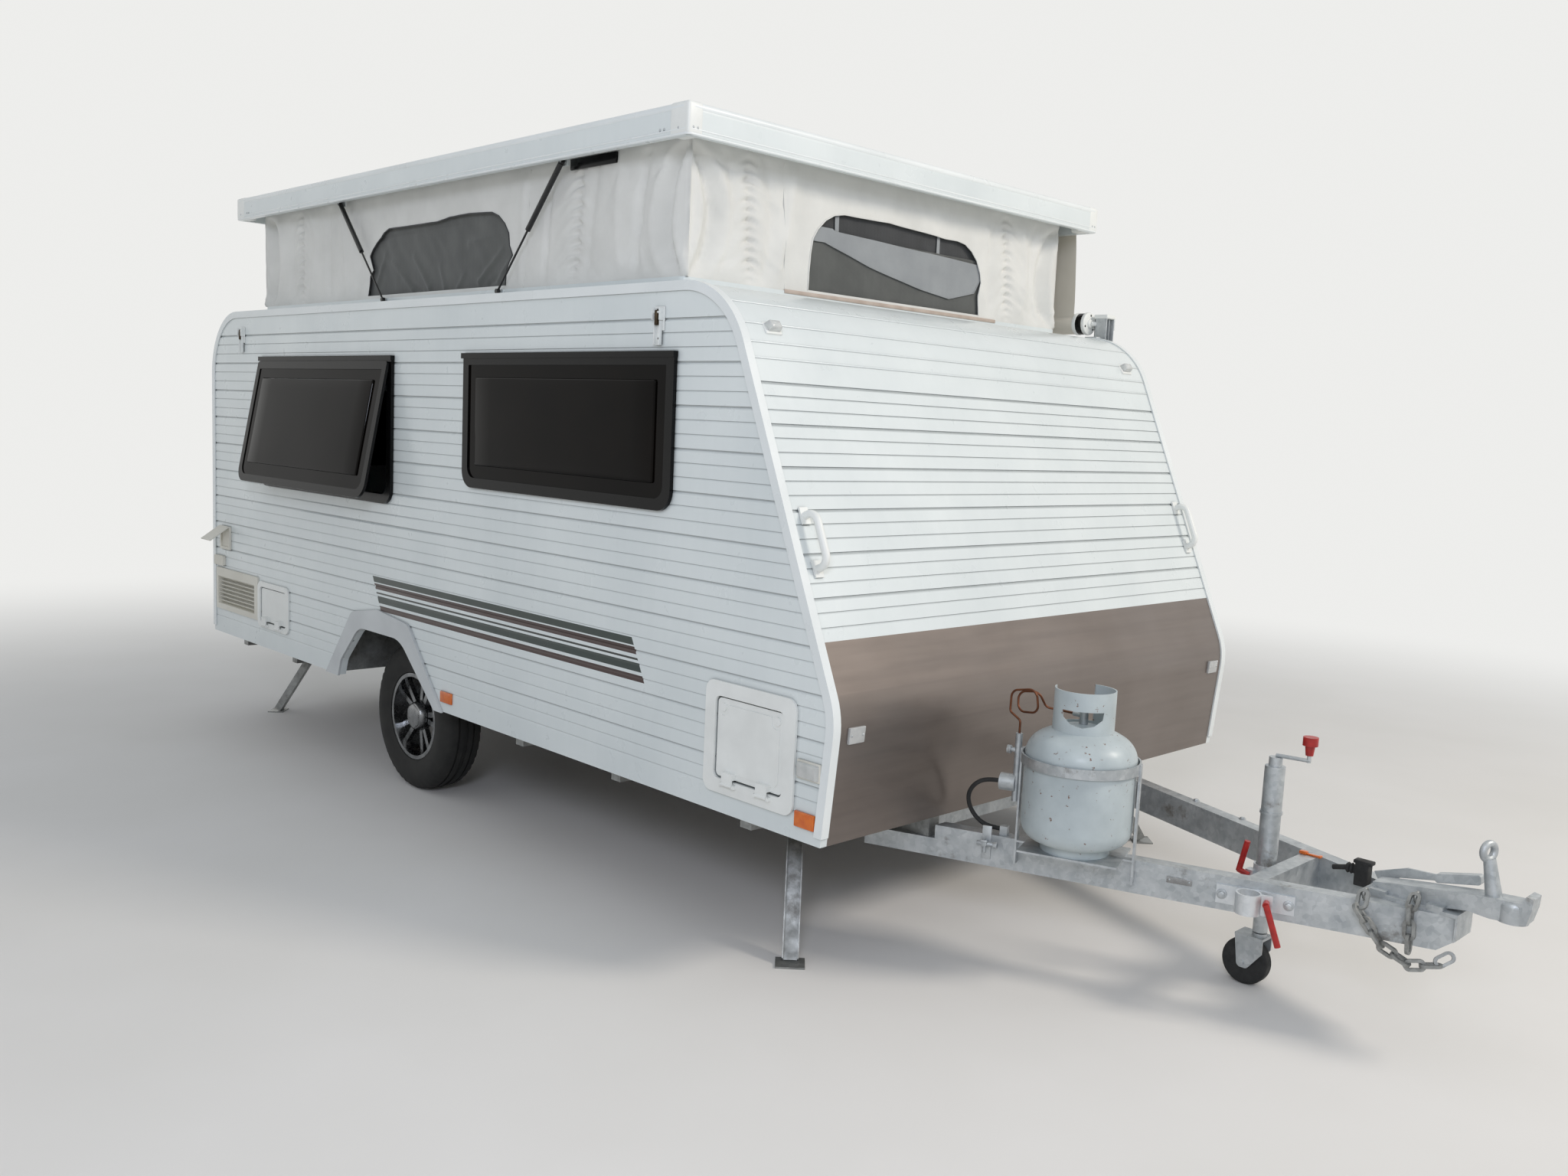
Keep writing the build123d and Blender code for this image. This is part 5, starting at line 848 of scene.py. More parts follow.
def hang(name, span, heights, finish, within=None, holes=(), behind=0.0, step=(14, 14), closed=False,
         creases=()):
    """A sheet on the ring between two distances and two heights, cut to an outline, with holes."""
    flat, kept, columns = cut_grid(span, heights, step, within, holes)
    on_frame = sum(area_of([flat[corner] for corner in square]) for square in kept)
    if closed:
        kept = [tuple((c % columns, r) for c, r in square) for square in kept]
    used = {corner for square in kept for corner in square}
    order = {corner: n for n, corner in enumerate(sorted(used))}
    points = [cloth_point(*flat[corner], behind - pulled(creases, *flat[corner])) for corner in order]
    piece = laid_sheet(name, points, [[order[corner] for corner in square] for square in kept], finish)
    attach(piece, "caravan")
    flatten(piece)
    return piece


WELT_STEP = 16


def welt(name, outline, behind, radius, finish, lift=0.0):
    """The rolled edge along a line of the flat cloth."""
    line = bpy.data.curves.new(name, "CURVE")
    line.dimensions = "3D"
    line.bevel_depth = radius / 1000
    line.bevel_resolution = 2
    edge = line.splines.new("POLY")
    points = []
    for start, end in zip(outline, outline[1:]):
        count = max(1, round((Vector(end) - Vector(start)).length / WELT_STEP))
        points += [tuple(Vector(start).lerp(Vector(end), n / count)) for n in range(count)]
    points.append(outline[-1])
    edge.points.add(len(points) - 1)
    for point, (distance, z) in zip(edge.points, points):
        point.co = (*cloth_point(distance, z, behind - lift), 1.0)
    pick(placed(name, line))
    bpy.ops.object.convert(target="MESH")
    piece = bpy.context.object
    piece.data.polygons.foreach_set("use_smooth", [True] * len(piece.data.polygons))
    piece.data.materials.append(finish)
    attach(piece, "caravan")
    return flatten(piece)


print("cutting tools ready")

# %% [markdown]
# ## The skirt, its windows and their flaps
#
# A window is cut in each face. Behind it hangs insect screen, and between the two a grey flap can be
# zipped up against the cold. On the front the flap has come half down: its upper edge is straight and
# its loose lower edge swings across a darker sheet, and two straps that tie it hang over the screen.
# On the sides the flap covers the whole opening, pulled into folds from its corners.

# %% Skirt with its windows
END_WINDOW = (
    (-475, 2126), (-473, 2185), (-470, 2250), (-460, 2305), (-438, 2339), (-400, 2375), (-353, 2399),
    (-304, 2408), (-169, 2409), (-64, 2412), (119, 2405), (273, 2398), (342, 2399), (393, 2392),
    (436, 2370), (471, 2337), (496, 2290), (504, 2254), (498, 2234), (491, 2202), (501, 2126),
)
SIDE_WINDOW = (
    (-374, 2126), (-360, 2209), (-332, 2234), (-353, 2275), (-362, 2295), (-334, 2327), (-278, 2362),
    (-237, 2386), (-195, 2400), (-101, 2398), (208, 2398), (305, 2409), (446, 2412), (616, 2403),
    (660, 2387), (705, 2355), (734, 2318), (740, 2272), (763, 2236), (742, 2215), (722, 2181),
    (719, 2126),
)
# Creases of the side flaps: x and z where each starts and ends, its depth and its width
FLAP_CREASES = (
    (-10, 2140, -190, 2265, 11, 13), (126, 2142, -5, 2275, 12, 14), (60, 2130, -120, 2200, -8, 14),
    (510, 2150, 662, 2262, 11, 14), (640, 2150, 722, 2225, 9, 11), (580, 2140, 700, 2180, -8, 12),
    (250, 2135, 205, 2225, 9, 12), (345, 2132, 400, 2190, 7, 14), (-300, 2368, 460, 2384, -8, 12),
    (-320, 2180, -250, 2300, 9, 16), (430, 2300, 690, 2330, 7, 20),
)
END_FLAP = ((-452, 2300), (-446, 2348), (-200, 2341), (60, 2334), (300, 2329), (484, 2322), (500, 2262),
            (470, 2210), (315, 2173), (139, 2191), (-155, 2241), (-395, 2301))
WINDOWS = {"front": END_WINDOW, "left": SIDE_WINDOW, "rear": END_WINDOW, "right": SIDE_WINDOW}
SCREEN_Z = (2114.0, 2426.0)
windows = [[(distance_at(face, place), z) for place, z in WINDOWS[face]] for face in FACES]
slants = [((distance_at(face, start), z0), (distance_at(face, end), z1), depth, width)
          for face in FACES for start, z0, end, z1, depth, width in CREASES[face]]
skirt = hang("canvas_skirt_cloth", (0.0, RING), SKIRT_Z, canvas, holes=windows, step=(12, 6),
             closed=True, creases=slants)
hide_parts("canvas_skirt")
hems, screens = [], []
for face, outline in zip(FACES, windows):
    edging = canvas if face in ("front", "rear") else screen_mesh
    hems.append(welt("window_hem_" + face, outline, 0, 2.6, edging, 1.0))
    middle = sum(distance for distance, _ in outline) / len(outline)
    grown = [(middle + (distance - middle) * 1.04, z + (12 if z > 2150 else -10)) for distance, z in outline]
    ends = (min(d for d, _ in grown) - 2, max(d for d, _ in grown) + 2)
    if face in ("front", "rear"):
        screens.append(hang("insect_screen_" + face, ends, SCREEN_Z, screen_mesh, within=grown,
                            behind=16))
        top = (2338 if face == "front" else 2420)
        low = [(d, min(z, top)) for d, z in grown]
        screens.append(hang("lower_flap_" + face, ends, (SCREEN_Z[0], top), side_flap_canvas,
                            within=low, behind=10))
    else:
        lines = [((distance_at(face, x0), z0), (distance_at(face, x1), z1), depth, width)
                 for x0, z0, x1, z1, depth, width in FLAP_CREASES]
        screens.append(hang("window_flap_" + face, ends, SCREEN_Z, side_flap_canvas, within=grown,
                            behind=15, step=(9, 9), creases=lines))
flap_line = [(distance_at("front", place), z) for place, z in END_FLAP]
flap_ends = (min(d for d, _ in flap_line) - 2, max(d for d, _ in flap_line) + 2)
flap = hang("loose_flap_front", flap_ends, (2160.0, 2352.0), flap_canvas, within=flap_line, behind=5)
flap_hem = welt("loose_flap_hem", flap_line[5:] + flap_line[:2], 5, 2.0, flap_canvas, 0.5)
# Ties of the flap: their middle, foot and head, all in millimetres
FLAP_TIES = ((-328, 2336, 2404), (241, 2326, 2402))
TIE_HALF = 10
for number, (place, low_z, high_z) in enumerate(FLAP_TIES):
    edges = (distance_at("front", place - TIE_HALF), distance_at("front", place + TIE_HALF))
    hang(f"flap_tie_{number}", edges, (low_z, high_z), flap_canvas, behind=11, step=(6, 6))

# Seams: their places at the top and at the bottom of each face
SEAMS = {"front": (-614, -588), "right": (876, 840), "left": (876, 840), "rear": (614, 588)}
SEAM_Z = (2114, 2535)
SEAM_STEPS = 24
for face, (place_top, place_low) in SEAMS.items():
    seam = []
    for n in range(SEAM_STEPS + 1):
        place = place_top + (place_low - place_top) * n / SEAM_STEPS
        seam.append((distance_at(face, place), SEAM_Z[1] - (SEAM_Z[1] - SEAM_Z[0]) * n / SEAM_STEPS))
    hems.append(welt("skirt_seam_" + face, seam, 0, 1.6, canvas, 1.2))

print(len(hems), "hems,", len(screens), "screens and flaps")

# %% [markdown]
# ## The lid's edge
#
# The lid is a sandwich sheet with an aluminium extrusion round it. The extrusion has a fat rounded
# bead along its top, a flat face, and two thin drip lips along the bottom. Thin pressed caps, held by
# rivets low down, close the mitred corners. A blank black tag is sewn to the canvas under each long
# edge, and a bead of old sealant runs where the front canvas meets the roof. A bead that follows an
# outline is that outline with its corners rounded, given a round section.

# %% Lid edge
LID_X = (-1554.0, 1880.0)
LID_HALF = 1137.0
# Blank tags: from and to along x, outwards and upwards
TAG_X, TAG_Y, TAG_Z = (1137, 1403), (1043, 1052), (2503, 2541)
CAP_Z = (2524, 2627.4)


def lid_bead(inset, z, radius):
    start, end = at(LID_X[0] + inset, -LID_HALF + inset, z), at(LID_X[1] - inset, LID_HALF - inset, z)
    bpy.ops.object.select_all(action="DESELECT")
    bpy.ops.mesh.primitive_plane_add(size=1, location=(start + end) / 2)
    bead = bpy.context.object
    bead.scale = (end.x - start.x, end.y - start.y, 1)
    bpy.ops.object.transform_apply(location=True, rotation=True, scale=True)
    edit(bead, bpy.ops.mesh.bevel, offset=0.014, segments=5, affect="VERTICES")
    edit(bead, bpy.ops.mesh.delete, type="ONLY_FACE")
    bpy.ops.object.convert(target="CURVE")
    bead = bpy.context.object
    bead.data.bevel_depth = radius / 1000
    bead.data.bevel_resolution = 5
    bpy.ops.object.convert(target="MESH")
    return bpy.context.object


settle([lid_bead(13, 2611, 15), lid_bead(1.5, 2543, 3.2), lid_bead(1.5, 2528, 4.2)],
       "lid_edge_extrusion", trim_paint, "lid", smooth=50)
caps, rivets, tags = [], [], []
for front, x in ((-1, LID_X[0]), (1, LID_X[1])):
    for side in (-1, 1):
        edge = side * (LID_HALF + 1.2)
        inner = side * (LID_HALF - 62)
        caps.append(plate((x - front * 92, inner, CAP_Z[0]), (x + front * 1.2, edge, CAP_Z[1]), 11, 5))
        for step, z in ((47, 2548), (118, 2550), (138, 2550)):
            rivets.append(dome((x - front * step, edge, z), (0, side, 0), 4, 1.8))
        for step in (20, 38):
            rivets.append(dome((x + front * 1.2, side * (LID_HALF - step), 2548), (front, 0, 0), 4, 1.8))
for side in (-1, 1):
    tags.append(plate((TAG_X[0], side * TAG_Y[0], TAG_Z[0]), (TAG_X[1], side * TAG_Y[1], TAG_Z[1]), 2))
flatten(settle(tags, "blank_plates", black_plastic, "caravan"))
settle(plate((1764, -592, 2103), (1774, 610, 2117), 3), "skirt_base_sealant", sealant, "caravan")
settle(caps, "lid_corner_caps", white_plastic, "lid")
settle(rivets, "lid_rivets", zinc, "lid", smooth=60)
print("lid edge ready")

# %% [markdown]
# ## Board edges over the front curve
#
# The boards go on over the curve above the front wall, where each overlap shows as a thin raised line.
# A ray sent back from ahead of the caravan finds the skin at each height, and a slim bar is half sunk
# there. The fridge vent's slots also get the plain backing that shows between its louvres.

# %% Board edges and vent backing
RIB_HEIGHTS = (2018, 1953, 1896, 1848)
ribs = []
depsgraph = bpy.context.evaluated_depsgraph_get()
for z in RIB_HEIGHTS:
    found, place, *_ = bpy.context.scene.ray_cast(depsgraph, at(4000, 900, z), (-1, 0, 0))
    x = place.x * 1000 - AXLE_X
    print("skin at height", z, "found", found, "x", round(x))
    ribs.append(bar((x, -1112, z), (x, 1112, z), 3.2, sides=12, edge=0.5))
settle(ribs, "front_curve_ribs", white_paint, "caravan")
settle(plate((-1789, -1119, 600), (-1342, -1114, 743), 1), "vent_backing", cream_plastic, "caravan")

# %% [markdown]
# ## Lamps and reflectors
#
# A clearance lamp is a white moulded base with a ribbed clear cover that is smaller at its face. Side
# reflectors are amber, and the rear clusters stack amber, red and clear lenses on one base. A
# cover is a block whose outer face is drawn in, because moulded lenses need draft to leave the mould.

# %% Lamps and reflectors
def cover(low, high, out, taper, edge=3.0):
    """A lens block whose outer face, towards out, is smaller than its base."""
    piece = plate(low, high, edge, 3)
    axis = max(range(3), key=lambda n: abs(out[n]))
    ends = [vertex.co[axis] for vertex in piece.data.vertices]
    near, far = (min(ends), max(ends)) if out[axis] > 0 else (max(ends), min(ends))
    middle = (at(*low) + at(*high)) / 2
    for vertex in piece.data.vertices:
        share = (vertex.co[axis] - near) / (far - near)
        for other in range(3):
            if other != axis:
                vertex.co[other] = middle[other] + (vertex.co[other] - middle[other]) * (1 - taper * share)
    return piece


CLEARANCE_SEAT = (2145.0, 1003.0, 1938.0)
CLEARANCE_LEAN = math.radians(38.5)
FRONT_REFLECTOR_LEAN = math.radians(5.2)
BODY_HALF = 1140
REAR_LAMP_Y = 980
FRONT_REFLECTOR = (2622, 1045, 776)
# Side reflectors at the rear: the left one is smaller
REAR_REFLECTOR_X = {-1: (463, 550), 1: (445, 523)}
bases, clear, amber, red, bezels, screws = [], [], [], [], [], []
for side in (-1, 1):
    x, y, z = CLEARANCE_SEAT
    seat = at(x, side * y, z)
    around = turn_about(seat, -CLEARANCE_LEAN, "Y")
    base = plate((x - 4, side * y - 34, z - 22), (x + 9, side * y + 34, z + 22), 4, 3)
    glass = cover((x + 8, side * y - 28, z - 17), (x + 31, side * y + 28, z + 17), (1, 0, 0), 0.22, 6)
    for piece, bucket in ((base, bases), (glass, clear)):
        piece.data.transform(around)
        bucket.append(piece)
    wall = side * BODY_HALF
    bezels.append(plate((2488, wall, 636), (2583, wall + side * 7, 692), 2.5, 3))
    clear.append(cover((2492, wall + side * 5, 640), (2579, wall + side * 19, 688), (0, side, 0), 0.12, 4))
    amber.append(cover((2485, wall, 490), (2567, wall + side * 8, 538), (0, side, 0), 0.05, 2))
    rear_x = REAR_REFLECTOR_X[side]
    amber.append(cover((rear_x[0], wall, 488), (rear_x[1], wall + side * 8, 533), (0, side, 0), 0.05, 2))
    y = side * REAR_LAMP_Y
    bases.append(plate((-1872, y - 84, 616), (-1858, y + 84, 864), 3, 3))
    for bucket, low_z, high_z in ((amber, 786, 858), (red, 706, 782), (clear, 664, 702), (red, 622, 660)):
        bucket.append(cover((-1888, y - 78, low_z), (-1870, y + 78, high_z), (-1, 0, 0), 0.04, 3))
    x, y, z = FRONT_REFLECTOR[0], side * FRONT_REFLECTOR[1], FRONT_REFLECTOR[2]
    panel = plate((x - 4, y - 33, z - 25), (x + 6, y + 33, z + 24), 2, 3)
    lean = turn_about(at(x, y, z), FRONT_REFLECTOR_LEAN, "Y")
    panel.data.transform(lean)
    clear.append(panel)
    for step in (-24, 24):
        screws.append(dome((x + 6, y + step, z), (1, 0, 0), 4, 2))
        screws[-1].data.transform(lean)
lamp_bases = settle(bases, "lamp_bases", white_plastic, "caravan")
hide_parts("lamps")
settle(bezels, "side_lamp_bezels", cream_plastic, "caravan")
settle(screws, "reflector_screws", zinc, "caravan", smooth=60)
settle(clear, "clear_lenses", clear_lens, "caravan")
settle(amber, "amber_lenses", amber_lens, "caravan")
settle(red, "red_lenses", red_lens, "caravan")
print("lamps ready")

# %% [markdown]
# ## Lid latches
#
# Four over-centre latches hold the lid down. Each has a plate screwed to the wall, two pressed ears
# that carry the pivot, a brass lever and a folded strap that hangs below while the lid is up.

# %% Lid latches
LATCH_X = (1780, -1480)
steel, brassy, dark = [], [], []


def off_wall(side, x, gap, z):
    """A point so far out from a side wall."""
    return x, side * (BODY_HALF + gap), z


for side in (-1, 1):
    for x in LATCH_X:
        steel.append(plate(off_wall(side, x - 24, 0, 1930), off_wall(side, x + 24, 3.5, 2006), 1.2))
        for ear in (x - 20, x + 17):
            steel.append(plate(off_wall(side, ear, 3, 1962), off_wall(side, ear + 3, 22, 2000), 1.0))
        steel.append(bar(off_wall(side, x - 22, 15, 1987), off_wall(side, x + 22, 15, 1987), 3.5))
        steel.append(plate(off_wall(side, x - 14, 4, 1884), off_wall(side, x + 14, 7, 1962), 1.0))
        for flange in (x - 15, x + 12):
            steel.append(plate(off_wall(side, flange, 4, 1884), off_wall(side, flange + 3, 16, 1962), 1.0))
        brassy.append(plate(off_wall(side, x - 9, 6, 1946), off_wall(side, x + 5, 20, 1994), 4, 3))
        for step, z in ((-11, 1995), (11, 1996)):
            dark.append(dome(off_wall(side, x + step, 3.5, z), (0, side, 0), 4.2, 2.2))
        dark.append(dome(off_wall(side, x, 7, 1905), (0, side, 0), 3.2, 1.6))
latches = settle(steel, "lid_latches", white_steel, "caravan")
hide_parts("roof_latches")
settle(brassy, "latch_levers", aged_brass, "caravan")
settle(dark, "latch_screws", black_steel, "caravan", smooth=60)
print("latches ready")

# %% [markdown]
# ## Awning
#
# The rolled awning lies in its arms along the door side. The vinyl goes from the lid's edge down to
# the roll. The roll has moulded caps with a black bearing ring, and the arms are aluminium channel,
# with an open head outboard of the roll under a moulded white cap.

# %% Awning
ROLL_Y, ROLL_Z, ROLL_RADIUS = 1200.0, 2150.0, 44.0
ROLL_X = (-1560.0, 1826.0)
roll = settle(bar((ROLL_X[0], ROLL_Y, ROLL_Z), (ROLL_X[1], ROLL_Y, ROLL_Z), ROLL_RADIUS, sides=48),
              "awning_roll_vinyl", vinyl, "caravan")
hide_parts("awning_roll")
ARM_OUT = 1214.0
ARM_X = (-1592, 1884)
HOLE_REACH = 36
caps, rings, arms, holes = [], [], [], []
# Rings on each end of the roll: from and to along it, radius, sides, edge and tip
END_RINGS = ((caps, -52, -34, 48, 48, 3, None), (rings, -36, -4, 46, 48, 1.5, None),
             (caps, -6, 12, 49, 48, 5, None), (caps, 10, 20, 21, 32, 2, 17))
# Walls of an arm's open head: outwards from and to, then along x from and to
HEAD_WALLS = ((0, 4, -30, 30), (0, 60, -30, -26), (56, 60, -30, 30), (34, 38, -26, 22))
for front, x, arm in ((-1, ROLL_X[0], ARM_X[0]), (1, ROLL_X[1], ARM_X[1])):
    for bucket, start, end, radius, sides, edge, tip in END_RINGS:
        bucket.append(bar((x + front * start, ROLL_Y, ROLL_Z), (x + front * end, ROLL_Y, ROLL_Z), radius,
                          sides, edge, tip))
    # Three black domes on each cap stand in for its holes: painted shade, not cut holes.
    for turn in (80, 200, 320):
        y, z = HOLE_REACH * math.cos(math.radians(turn)), HOLE_REACH * math.sin(math.radians(turn))
        holes.append(dome((x + front * 12, ROLL_Y + y, ROLL_Z + z), (front, 0, 0), 5, 1.5))
    arms.append(plate((arm - 30, 1143, 640), (arm + 30, 1174, 2090), 3))
    arms.append(plate((arm - 30, 1140, 600), (arm + 30, 1180, 680), 4))
    arms.append(plate((arm - 24, 1170, 700), (arm + 24, 1177, 2080), 1.5))
    for low_y, high_y, low_x, high_x in HEAD_WALLS:
        arms.append(plate((arm + low_x, ARM_OUT + low_y, 2040), (arm + high_x, ARM_OUT + high_y, 2176), 1))
    arms.append(plate((arm - 30, 1170, 2040), (arm + 30, ARM_OUT + 60, 2052), 2))
    caps.append(plate((arm - 34, ARM_OUT - 4, 2172), (arm + 34, ARM_OUT + 65, 2190), 5, 3))
    caps.append(plate((arm - 34, ARM_OUT + 58, 2126), (arm + 34, ARM_OUT + 65, 2184), 3, 3))
    caps.append(bar((x + front * 18, ROLL_Y, ROLL_Z), (arm - front * 28, ARM_OUT + 6, ROLL_Z), 10))
settle(holes, "painted_awning_hole_shade", black_plastic, "caravan", smooth=60)
settle(caps, "awning_caps", white_plastic, "caravan")
settle(rings, "awning_bearing_rings", black_plastic, "caravan")
settle(arms, "awning_arms", zinc, "caravan")

# The vinyl's section from the lid down to the roll: y and z
AWNING_LINE = ((1140.5, 2532), (1147, 2470), (1154, 2390), (1160, 2310), (1164, 2240), (1166, 2190),
               (1163, 2160))
AWNING_START, AWNING_LENGTH = -1500, 3276
AWNING_COLUMNS, AWNING_ROWS = 164, 30
points, faces = [], []
for column in range(AWNING_COLUMNS + 1):
    x = AWNING_START + AWNING_LENGTH * column / AWNING_COLUMNS
    for step in range(AWNING_ROWS + 1):
        share = step / AWNING_ROWS * (len(AWNING_LINE) - 1)
        n = min(int(share), len(AWNING_LINE) - 2)
        (y0, z0), (y1, z1) = AWNING_LINE[n], AWNING_LINE[n + 1]
        y, z = y0 + (y1 - y0) * (share - n), z0 + (z1 - z0) * (share - n)
        slack = math.sin(math.pi * step / AWNING_ROWS)
        broad = noise.noise(Vector((x / 420, z / 300, 2.2)))
        fine = noise.noise(Vector((x / 120, z / 170, 7.7)))
        points.append(at(x, y + slack * (5 * broad + 3 * fine), z))
beside = AWNING_ROWS + 1
for column in range(AWNING_COLUMNS):
    for step in range(AWNING_ROWS):
        corner = column * beside + step
        faces.append((corner, corner + beside, corner + beside + 1, corner + 1))
awning_sheet = laid_sheet("awning_sheet", points, faces, vinyl)
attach(awning_sheet, "caravan")
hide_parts("awning_fabric")
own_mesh(awning_sheet)
print("awning ready")

# %% [markdown]
# ## Tyres
#
# A road tyre is a shape that was spun in its mould: one section with a bead, a bulging wall, a
# shoulder and a tread with three grooves, turned through a full circle. Cross cuts in the shoulders
# come from pressing out a thin wedge again and again round the tread, so every few degrees the
# shoulder steps down. A bell-shaped centre cap with shallow flutes covers the hub.

# %% Tyres
# Half section of a tyre: distance out from its middle plane, then from the axle
TYRE_HALF = (
    (0, 314), (9, 314), (9, 321), (30, 321), (30, 313), (39, 313), (39, 320), (62, 317), (74, 309),
    (84, 290), (91, 262), (90, 236), (84, 212), (80, 202), (78, 192), (66, 190),
)
TREAD_STEPS = 144
STEP_DEGREES = 360 / TREAD_STEPS
# Cross cuts, in metres: their band of the half width, the least radius, and how deep they are
CUT_BAND, CUT_ABOVE, CUT_DEPTH = (0.040, 0.080), 0.305, 0.005
CAP_FLUTES = 6
for side, word in ((-1, "right"), (1, "left")):
    low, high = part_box("tyre_" + word)
    middle = (Vector(low) + Vector(high)) / 2
    section = [(-y, r) for y, r in reversed(TYRE_HALF[1:])] + list(TYRE_HALF)
    mesh = bpy.data.meshes.new("tyre_section")
    mesh.from_pydata([(middle.x, middle.y + y / 1000, middle.z + r / 1000) for y, r in section],
                     [(n, n + 1) for n in range(len(section) - 1)], [])
    tyre = placed("road_tyre_" + word, mesh)
    edit(tyre, bpy.ops.mesh.spin, steps=TREAD_STEPS, angle=2 * math.pi, center=middle, axis=(0, 1, 0))
    edit(tyre, bpy.ops.mesh.remove_doubles, threshold=0.0002)
    edit(tyre, bpy.ops.mesh.normals_make_consistent, inside=False)
    for vertex in tyre.data.vertices:
        arm = vertex.co - middle
        radius, width = math.hypot(arm.x, arm.z), abs(arm.y)
        turn = math.degrees(math.atan2(arm.z, arm.x))
        on_shoulder = CUT_BAND[0] < width < CUT_BAND[1] and radius > CUT_ABOVE
        if on_shoulder and round(turn / STEP_DEGREES) % 3 == 0:
            nearer = 1 - CUT_DEPTH / radius
            vertex.co = middle + Vector((arm.x * nearer, arm.y, arm.z * nearer))
    settle(tyre, "road_tyre_" + word, tyre_rubber, "wheel_" + word, smooth=28)
    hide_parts("tyre_" + word)
    rim_low, rim_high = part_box("rim_" + word)
    face = (Vector(rim_high if side > 0 else rim_low).y) * 1000
    x, z = middle.x * 1000 - AXLE_X, middle.z * 1000
    bell = bar((x, face - side * 34, z), (x, face + side * 2, z), 70, sides=60, edge=9, tip=56)
    for vertex in bell.data.vertices:
        arm = vertex.co - middle
        turn = math.atan2(arm.z, arm.x)
        vertex.co -= Vector((arm.x, 0, arm.z)) * 0.05 * (1 + math.cos(CAP_FLUTES * turn)) / 2
    settle(bell, "wheel_centre_cap_" + word, alloy, "wheel_" + word)
print("tyres and centre caps ready")

# %% [markdown]
# ## Window panes
#
# The panes are acrylic sheets that were blown up a little in a frame while hot, so each has a raised
# middle with a soft step all round, which catches a thin line of light. The step starts as a plate
# with wide rounded edges, and its face is then subdivided and pushed out in a shallow crown.

# %% Window domes
def blister(x, z, y, side, crown):
    """A raised acrylic middle on a side pane, from its low and high x and z."""
    piece = plate((x[0], y - side * 3, z[0]), (x[1], y + side * 8, z[1]), 7, 4)
    edit(piece, bpy.ops.mesh.subdivide, number_cuts=9)
    middle = at((x[0] + x[1]) / 2, y, (z[0] + z[1]) / 2)
    half = ((x[1] - x[0]) / 2000, (z[1] - z[0]) / 2000)
    for vertex in piece.data.vertices:
        across, up = (vertex.co.x - middle.x) / half[0], (vertex.co.z - middle.z) / half[1]
        if side * (vertex.co.y - middle.y) > 0.004:
            vertex.co.y += side * crown / 1000 * max(0.0, (1 - across ** 4)) * max(0.0, (1 - up ** 4))
    return piece


SASH_TILT = math.radians(10.8)
SASH_HINGE = (-600.0, -1160.0, 1835.0)
domes = [blister((705, 1782), (1446, 1776), -1148, -1, 4), blister((-1159, -40), (1336, 1768), 1148, 1, 4)]
sash = blister((-1150, -49), (1352, 1758), -1162, -1, 5)
sash.data.transform(turn_about(at(*SASH_HINGE), -SASH_TILT, "X"))
settle(domes + [sash], "window_domes", acrylic, "caravan", smooth=50)
print("window domes ready")

# %% [markdown]
# ## Fittings on the drawbar
#
# The drawbar carries small things: two bolt heads on the left rail, a blank riveted plate and a gas
# bayonet on the right one, the bolts and washers of the spare clamp, an orange safety clip, and the
# lighting connector with its bellows. The bellows is a ringed tube, so it is a stack of cones that
# swell and shrink.

# %% Drawbar fittings
RAIL_TURN = math.radians(20.46)


def on_rail(x, side, gap=0.0):
    """The y of a drawbar rail's outer face at x, and so far out from it."""
    return side * (402 - math.tan(RAIL_TURN) * (x - 3000) + gap)


def turned(piece, x, side, z):
    """Turns a piece that was made square to the drawing so that it lies along a rail."""
    piece.data.transform(turn_about(at(x, on_rail(x, side), z), -side * RAIL_TURN, "Z"))
    return piece


# Places along the right rail: x and z
SPARE_CLAMP = (3455.0, 352.0)
RAIL_PLATE = (3268, 365)
GAS_BAYONET = (2715, 380)
bolts = []
for x, y in ((2925, 425), (3136, 350)):
    bolts.append(bar((x, y, 404), (x, y, 406), 12, edge=0.8))
    bolts.append(bar((x, y, 405), (x, y, 410), 9, sides=6, edge=1))
x, z = SPARE_CLAMP
y = on_rail(x, -1, 5)
for step in (-77, 107):
    for depth, radius, sides in ((4, 15, 32), (14, 10, 6)):
        bolt = bar((x + step, y, z), (x + step, y - depth, z), radius, sides=sides)
        bolts.append(turned(bolt, x, -1, z))
x, z = RAIL_PLATE
y = on_rail(x, -1, 2)
for rivet_x in (x - 28, x + 29):
    bolts.append(turned(dome((rivet_x, y, z), (0, -1, 0), 3.2, 1.6), x, -1, z))
settle(bolts, "rail_bolts", zinc, "caravan")
rail_plate = plate((x - 36, on_rail(x, -1), z - 10), (x + 37, y, z + 9), 0.7)
settle(turned(rail_plate, x, -1, z), "blank_rail_plate", alloy, "caravan")

x, z = GAS_BAYONET
face = on_rail(x, -1)
y = face - 24
tap = joined([
    plate((x - 15, face, z - 55), (x + 15, face - 5, z + 52), 1.5),
    bar((x, face - 4, z), (x, face - 34, z), 9),
    bar((x - 25, y, z), (x + 27, y, z), 7),
    bar((x + 27, y, z), (x + 41, y, z), 10, sides=6),
    bar((x, y, z - 8), (x, y, z - 28), 6),
    plate((x - 11, face - 38, z + 6), (x + 11, face - 30, z + 14), 2),
])
settle(turned(tap, x, -1, z), "gas_bayonet", zinc, "caravan")

clip = [plate((3426, 141, 404.5), (3450, 160, 415), 3), plate((3448, 146, 404.5), (3492, 157, 410), 2),
        plate((3484, 142, 404.5), (3494, 160, 412), 2)]
settle(clip, "safety_clip", amber_lens, "caravan")

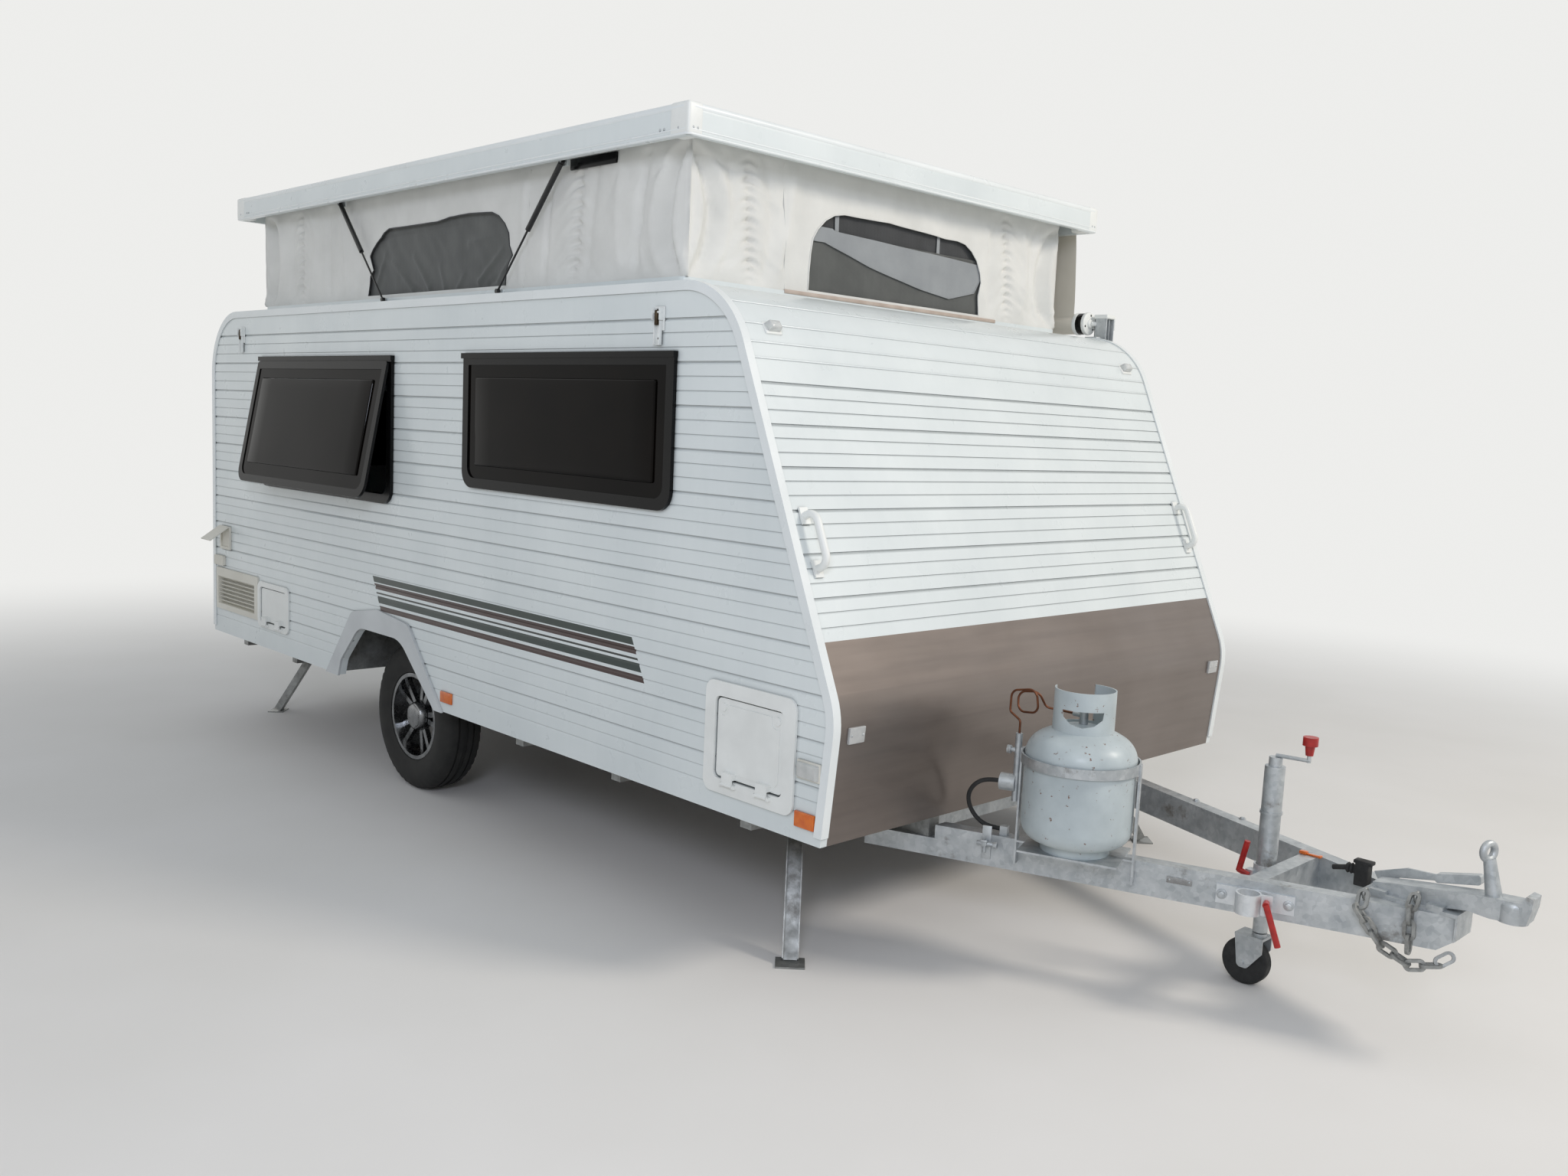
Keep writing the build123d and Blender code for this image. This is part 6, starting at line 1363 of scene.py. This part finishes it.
box_end = [plate((3630, 58, 380), (3670, 94, 452), 4, 3), plate((3624, 60, 446), (3678, 92, 457), 3, 3)]
for ring in range(3):
    x = 3634 - ring * 11
    box_end.append(bar((x, 76, 424), (x - 6, 76, 424), 12, edge=1.2, tip=17))
    box_end.append(bar((x - 5, 76, 424), (x - 11, 76, 424), 17, edge=1.2, tip=12))
box_end.append(bar((3604, 76, 424), (3560, 78, 412), 8))
settle(box_end, "lighting_connector", rubber, "caravan")
print("drawbar fittings ready")

# %% [markdown]
# ## Floor and light
#
# A plain pale floor and a pale surround, as in a product studio. One broad lamp ahead and to the
# left stands for the sun that lights the slanted front, a weaker and cooler one stands for the open
# sky beside the right wall, and the surround fills the shade. What the camera, metal and glass see
# of the surround is pale, whatever light it gives. Away from the caravan the floor turns into the
# same pale glow, as a curved paper sweep does, so no horizon shows.

# %% Floor, lamps and surround
FADE_FROM, FADE_TO = 3.6, 9.0
PALE, PALE_STRENGTH = "#F3F3F1", 0.95
bpy.ops.object.select_all(action="DESELECT")
bpy.ops.mesh.primitive_grid_add(x_subdivisions=4, y_subdivisions=4, size=60)
floor = bpy.context.object
floor.name = "studio_floor"
floor_finish, tree, shader, place = new_finish("studio_floor", "#E9E7E3", {"Roughness": 0.9})
tint(tree, shader, mottle(tree, place, 900, "#E4E2DE", "#EAE8E5"))
far = add_node(tree, "VectorMath", {"operation": "LENGTH"}, {0: place})
fade = add_node(tree, "MapRange", {"interpolation_type": "SMOOTHSTEP", "From Min": FADE_FROM,
                                   "From Max": FADE_TO}, {"Value": far.outputs["Value"]})
glow = add_node(tree, "Emission", {"Color": linear(PALE), "Strength": PALE_STRENGTH})
blend = add_node(tree, "MixShader", links={0: fade.outputs[0], 1: shader.outputs[0], 2: glow.outputs[0]})
tree.links.new(blend.outputs[0], tree.nodes["Material Output"].inputs["Surface"])
floor.data.materials.append(floor_finish)

world = bpy.data.worlds.new("surround")
world.use_nodes = True
bpy.context.scene.world = world
tree = world.node_tree
seen = add_node(tree, "LightPath")
pale = add_node(tree, "Background", {"Color": linear(PALE), "Strength": PALE_STRENGTH})
fill = tree.nodes["Background"]
fill.inputs["Color"].default_value = linear("#EEF2F6")
fill.inputs["Strength"].default_value = 0.56
camera_or_gloss = add_node(tree, "Math", {"operation": "MAXIMUM"},
                           {0: seen.outputs["Is Camera Ray"], 1: seen.outputs["Is Glossy Ray"]})
any_seen = add_node(tree, "Math", {"operation": "MAXIMUM"},
                    {0: camera_or_gloss.outputs[0], 1: seen.outputs["Is Transmission Ray"]})
choice = add_node(tree, "MixShader", links={0: any_seen.outputs[0], 1: fill.outputs[0], 2: pale.outputs[0]})
tree.links.new(choice.outputs[0], tree.nodes["World Output"].inputs["Surface"])


def soft_lamp(name, place, aim, size, watts, colour):
    lamp_data = bpy.data.lights.new(name, "AREA")
    lamp_data.size = size
    lamp_data.energy = watts
    lamp_data.color = linear(colour)[:3]
    lamp = placed(name, lamp_data)
    lamp.location = place
    lamp.rotation_euler = (Vector(aim) - Vector(place)).to_track_quat("-Z", "Y").to_euler()


soft_lamp("key_lamp", (7.5, 3.0, 6.5), (0.5, 0, 1.2), 2.0, 340, "#FFF6EA")
soft_lamp("side_fill", (5.5, -6.0, 4.0), (-0.5, -1.0, 1.8), 1.6, 150, "#E9EFFF")
bpy.context.scene.view_settings.view_transform = "Standard"
print("studio ready")

# %% [markdown]
# ## Update the view layer

# %% View layer update
bpy.context.view_layer.update()
